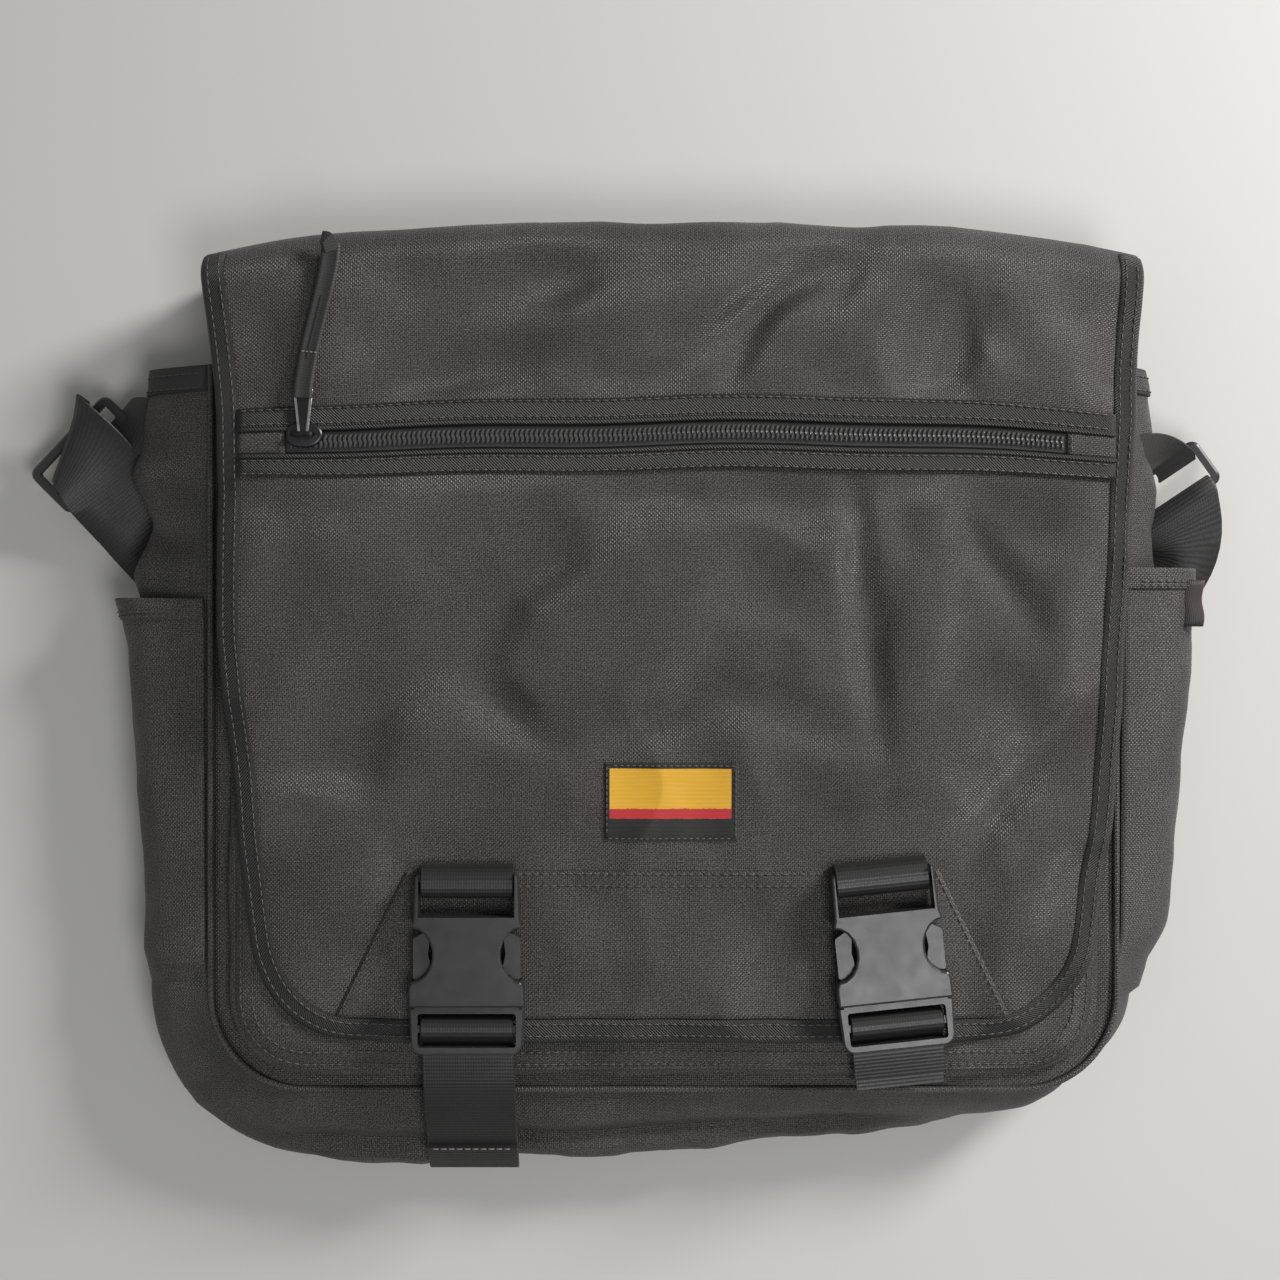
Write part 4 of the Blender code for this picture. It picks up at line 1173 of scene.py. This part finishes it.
def make_back_pad():
    """The padded back: soft at its edges, with a channel below in which the strap lies."""
    spots = [Vector(p[:2]) for p in STRAP_ROUTE[6:-5]]
    segments = [(a, b) for a, b in zip(spots, spots[1:]) if (b - a).length > 0.004]

    def rim(x, y):
        near = min(BACK_PAD.reach(y) - abs(x), y - BAG.foot, BACK_PAD.top - y)
        return (1 - smoothstep(0.0, 0.012, near)) ** 2

    def low(x, y):
        channel = 0.0062 * (1 - smoothstep(0.0215, 0.0275, distance_to(segments, x, y)))
        quilt = 0.0005 * (1 + math.cos(2 * math.pi * x / 0.048)) * (channel < 0.0005)
        return max(channel, 0.0034 * rim(x, y) + quilt * 0.6)

    def high(x, y):
        return 0.0100 - 0.0030 * rim(x, y) - 0.0004 * abs(noise.noise(Vector((x, y, 0)) * 30))

    columns = 150
    points, uvs = [], []
    for level in (low, high):
        place = lambda x, y: (x, y - arch(x) * smoothstep(0.12, 0.19, y), level(x, y))
        more_points, more_uvs = BACK_PAD.points(0.0028, columns, place)
        points += more_points
        uvs += more_uvs
    wide, count = columns + 1, len(points) // 2
    rows = count // wide - 1
    faces = []
    for quad in quads(columns, rows):
        faces += [quad[::-1], tuple(count + corner for corner in quad)]
    edge = list(range(wide)) + [j * wide + columns for j in range(1, rows + 1)]
    edge += [rows * wide + i for i in range(columns - 1, -1, -1)] + [j * wide for j in range(rows - 1, 0, -1)]
    faces += [(a, b, count + b, count + a) for a, b in zip(edge, edge[1:] + edge[:1])]
    pad = tidy_normals(mesh_piece("back_pad_cover", points, faces, uvs, PAD))
    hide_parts("back_panel")
    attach(pad, "bag")


# ---------------------------------------------------------------- buckles and their webbing

# Each length of webbing as (y, z) places of its middle line, in its buckle's own frame
LOOP_ROUTE = [
    (0.0400, 0.0006), (0.0392, 0.0042), (0.0372, 0.0068), (0.0345, 0.0079), (0.0312, 0.0078),
    (0.0285, 0.0064), (0.0272, 0.0042), (0.0280, 0.0020), (0.0310, 0.0008), (0.0400, -0.0006),
]
TAIL_START = [
    (-0.0224, 0.0012), (-0.0228, 0.0040), (-0.0243, 0.0068), (-0.0273, 0.0080), (-0.0303, 0.0068),
    (-0.0318, 0.0040), (-0.0330, 0.0016), (-0.0352, 0.0008),
]
TAIL_END = {
    "left": [
        (-0.0420, 0.0002), (-0.0520, -0.0020), (-0.0620, -0.0062), (-0.0720, -0.0122),
        (-0.0820, -0.0196), (-0.0880, -0.0244), (-0.0935, -0.0296),
    ],
    "right": [(-0.0400, 0.0004), (-0.0450, -0.0006), (-0.0505, -0.0020)],
}
FOLD_ROUTE = [(-0.0828, -0.0184), (-0.0885, -0.0231), (-0.0938, -0.0280)]
ANCHOR_ROUTE = [
    (-0.0560, -0.0056), (-0.0500, -0.0048), (-0.0440, -0.0034), (-0.0380, -0.0020), (-0.0330, -0.0013),
    (-0.0240, -0.0011),
]


def buckle_frame(side):
    (x, y), turn = BUCKLES[side]
    return Matrix.Translation((x, y, 0.0614)) @ Matrix.Rotation(math.radians(turn), 4, "Z")


def belt(name, side, route, width, thick=0.0013):
    """A length of webbing along a route in a buckle's own frame."""
    place = buckle_frame(side)
    line = smooth_line([(0, y, z) for y, z in route], 0.0008)
    ups = []
    for k in range(len(line)):
        ahead = ahead_at(line, k)
        ups.append((place.to_3x3() @ Vector((0, -ahead.z, ahead.y))).normalized())
    return strip(name + side, [place @ p for p in line], ups, width, thick, WEB)


def make_belts():
    """The webbing through each buckle; the left one's tail is folded over and sewn at its end."""
    for side in BUCKLES:
        loop = belt("buckle_loop_cloth_", side, LOOP_ROUTE, 0.0385)
        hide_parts("buckle_loop_" + side)
        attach(loop, "flap")
        tail = belt("belt_tail_", side, TAIL_START + TAIL_END[side], 0.0385)
        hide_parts("latch_tail_" + side)
        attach(tail, "latch_" + side)
        anchor = belt("belt_anchor_", side, ANCHOR_ROUTE, 0.0375)
        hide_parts("latch_anchor_" + side)
        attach(anchor, "bag")
    fold = belt("belt_fold_", "left", FOLD_ROUTE, 0.0388, 0.0016)
    place = buckle_frame("left")
    line = [place @ Vector((x, -0.0838, -0.0182)) for x in np.linspace(-0.0175, 0.0178, 12)]
    row = (line, [Vector((0, -0.6, 0.8))] * len(line))
    for obj in (fold, stitches("belt_fold_stitches_left", [row], PALE_THREAD, 0.0034)):
        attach(obj, "latch_left")


def dress_cad():
    """Softer edges and a moulded finish on the CAD nodes that stay in view."""
    for name, node in NODES.items():
        if not name.startswith(("buckle_female", "buckle_male", "latch_arm", "strap_adjuster", "strap_ring")):
            continue
        node.data.materials.clear()
        node.data.materials.append(PLASTIC)
        soften(node, 0.0004)
        node.data.shade_smooth()
        node.data.set_sharp_from_angle(angle=math.radians(40))


# ---------------------------------------------------------------- slider and pull

SLIDER = Vector((-0.1500, ZIP_Y, 0.0608))
# Half length, half width and level of each ring of the slider's plate, and the bridge's (x, z) places
SLIDER_SIZES = [
    (0.0074, 0.0050, -0.0006), (0.0078, 0.0054, 0.0002), (0.0078, 0.0054, 0.0011), (0.0069, 0.0046, 0.0018),
]
BRIDGE_ROUTE = [
    (-0.0050, 0.0014), (-0.0046, 0.0036), (-0.0030, 0.0045),
    (0.0022, 0.0045), (0.0038, 0.0036), (0.0042, 0.0014),
]
PULL = Vector((-0.1500, ZIP_Y, 0.0638))
PULL_ROUTE = [
    (0.0000, 0.0150, 0.0016), (0.0003, 0.0200, 0.0016), (0.0012, 0.0270, 0.0006), (0.0030, 0.0370, 0.0002),
    (0.0062, 0.0500, 0.0004), (0.0092, 0.0620, 0.0010), (0.0112, 0.0720, 0.0010), (0.0116, 0.0790, 0.0006),
]


def hard_piece(name, rings, material, round_edge):
    """A closed hard shape through rings of points, lowest first."""
    obj = loft(name, rings, [(p.x, p.y) for ring in rings for p in ring], material)
    soften(obj, round_edge)
    return obj


def oval(half_x, half_y, level, pinch=0.3):
    """A rounded oblong over the slider's middle, narrower at its front end by pinch."""
    ring = []
    for turn in [2 * math.pi * k / 28 for k in range(28)]:
        c, s = math.cos(turn), math.sin(turn)
        x = half_x * math.copysign(abs(c) ** 0.75, c)
        y = half_y * math.copysign(abs(s) ** 0.75, s) * (1 - pinch * max(0.0, c) ** 2)
        ring.append(SLIDER + Vector((x, y, level)))
    return ring


def make_slider():
    """The zip's slider, with the bridge that holds its pull."""
    body = hard_piece("slider_plate", [oval(*size) for size in SLIDER_SIZES], GUNMETAL, 0.0003)
    line = smooth_line([SLIDER + Vector((x, 0, z)) for x, z in BRIDGE_ROUTE], 0.0006)
    ups = []
    for x in [p.x - SLIDER.x for p in line]:
        ups.append(UP if abs(x) < 0.003 else Vector((math.copysign(1, x), 0, 0.3)).normalized())
    bridge = strip("slider_bridge", line, ups, 0.0020, 0.0009, GUNMETAL)
    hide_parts("zip_slider")
    for obj in (body, bridge):
        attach(obj, "zip_slider")


def pull_outline(inset, level):
    """The pull tab's outline, wider at its far end."""
    corners = [(0.0022, inset - 0.0008), (0.0026, 0.0040), (0.0042, 0.0186), (0.0038, 0.0196 - inset)]
    right = [(max(0.0003, x - inset), y) for x, y in corners]
    return [PULL + Vector((x, y, level)) for x, y in right + [(-x, y) for x, y in reversed(right)]]


def pull_line():
    """The middle line of the pull's ribbon, which rests on the flap up to its fold."""
    fold_y, fold_level = 0.178, 0.0605
    line = smooth_line([PULL + Vector(p) for p in PULL_ROUTE], 0.0010)
    floors = [on_flap(p.x, p.y).z + 0.0016 if p.y < fold_y else fold_level for p in line]
    return [Vector((p.x, p.y, max(p.z, floor))) for p, floor in zip(line, floors)]


def make_pull():
    """The enamelled tab on the slider, and the ribbon folded through it with its stitches and fold."""
    rim_rings = [pull_outline(0.0, level) for level in (-0.0006, 0.0005)]
    face_rings = [pull_outline(0.0011, level) for level in (0.0, 0.0008)]
    rim = hard_piece("pull_tab_rim", rim_rings, CHROME, 0.0002)
    face = hard_piece("pull_tab_face", face_rings, ENAMEL, 0.0001)
    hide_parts("zip_pull_tab")
    line = pull_line()
    band = strip("pull_ribbon", line, [UP] * len(line), 0.0082, 0.0014, GROSGRAIN, 0.0003)
    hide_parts("zip_pull_ribbon")
    groove = [p + UP * 0.0009 for p in line if 0.031 < p.y - PULL.y < 0.058]
    crease = tube("pull_ribbon_crease", groove, 0.00045, GROSGRAIN, 6)
    level = line[20].z + 0.0010
    shares = np.linspace(-0.0038, 0.0038, 5)
    across = [Vector((PULL.x + 0.0030 + t, PULL.y + 0.0340 - t * 0.1, level)) for t in shares]
    sewing = stitches("pull_ribbon_stitches", [(across, [UP] * 5)], PALE_THREAD, 0.0017, 0.7, 0.00028)
    steps = ((0.0005, -0.003, 0.0006), (-0.0010, 0.0015, 0.0018), (-0.0036, 0.0022, 0.0012))
    end = smooth_line([line[-1] + Vector(step) for step in steps], 0.0006)
    ups = [Vector((0.1, 0.2, 1)).normalized()] * len(end)
    fold = strip("pull_ribbon_fold", end, ups, 0.0062, 0.0012, GROSGRAIN)
    for obj in (rim, face, band, crease, sewing, fold):
        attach(obj, "zip_pull")


# ---------------------------------------------------------------- camera, table and light


SENSOR_WIDTH = 36.0
VIEW_SPREAD = 0.7227  # the width that the camera sees, over its distance


def make_camera():
    """The photograph's view, straight down on the bag."""
    camera = bpy.data.objects.new("camera", bpy.data.cameras.new("camera"))
    bpy.context.scene.collection.objects.link(camera)
    camera.location = (-0.010, 0.0207, 0.8)
    camera.data.sensor_width = SENSOR_WIDTH
    camera.data.lens = SENSOR_WIDTH / VIEW_SPREAD
    bpy.context.scene.camera = camera


def light(name, place, size, energy, colour=(1, 1, 1)):
    """A round soft light that faces the bag's middle."""
    lamp = bpy.data.lights.new(name, "AREA")
    lamp.shape = "DISK"
    lamp.size = size
    lamp.energy = energy
    lamp.color = colour
    obj = bpy.data.objects.new(name, lamp)
    bpy.context.scene.collection.objects.link(obj)
    obj.location = place
    obj.rotation_euler = (-Vector(place)).to_track_quat("-Z", "Y").to_euler()


def make_stage():
    """A pale floor, a dim white studio, and three lights."""
    scene = bpy.context.scene
    scene.view_settings.view_transform = "Standard"
    mesh = bpy.data.meshes.new("floor")
    mesh.from_pydata([(-4, -4, 0), (4, -4, 0), (4, 4, 0), (-4, 4, 0)], [], [(0, 1, 2, 3)])
    floor = bpy.data.objects.new("floor", mesh)
    scene.collection.objects.link(floor)
    mesh.materials.append(Graph("pale_floor", (0.50, 0.495, 0.48), 0.7).material)
    world = bpy.data.worlds.new("studio")
    world.use_nodes = True
    world.node_tree.nodes["Background"].inputs["Color"].default_value = (1.0, 1.0, 1.0, 1.0)
    world.node_tree.nodes["Background"].inputs["Strength"].default_value = 0.24
    scene.world = world
    light("key", (1.15, 0.85, 0.80), 0.42, 31.0, (1.0, 0.98, 0.96))
    light("fill", (-0.9, -0.2, 1.1), 1.2, 1.0, (0.95, 0.97, 1.0))
    light("window", (0.30, -0.40, 1.15), 0.50, 6.5)


make_camera()
make_shoulder_strap()
make_stage()
make_back_pad()
make_gussets()
make_front()
make_side_pockets()
make_label_tab()
make_flap()
make_edge_tape()
make_zip()
make_lower_panel()
make_patch()
make_belts()
make_slider()
make_pull()
dress_cad()
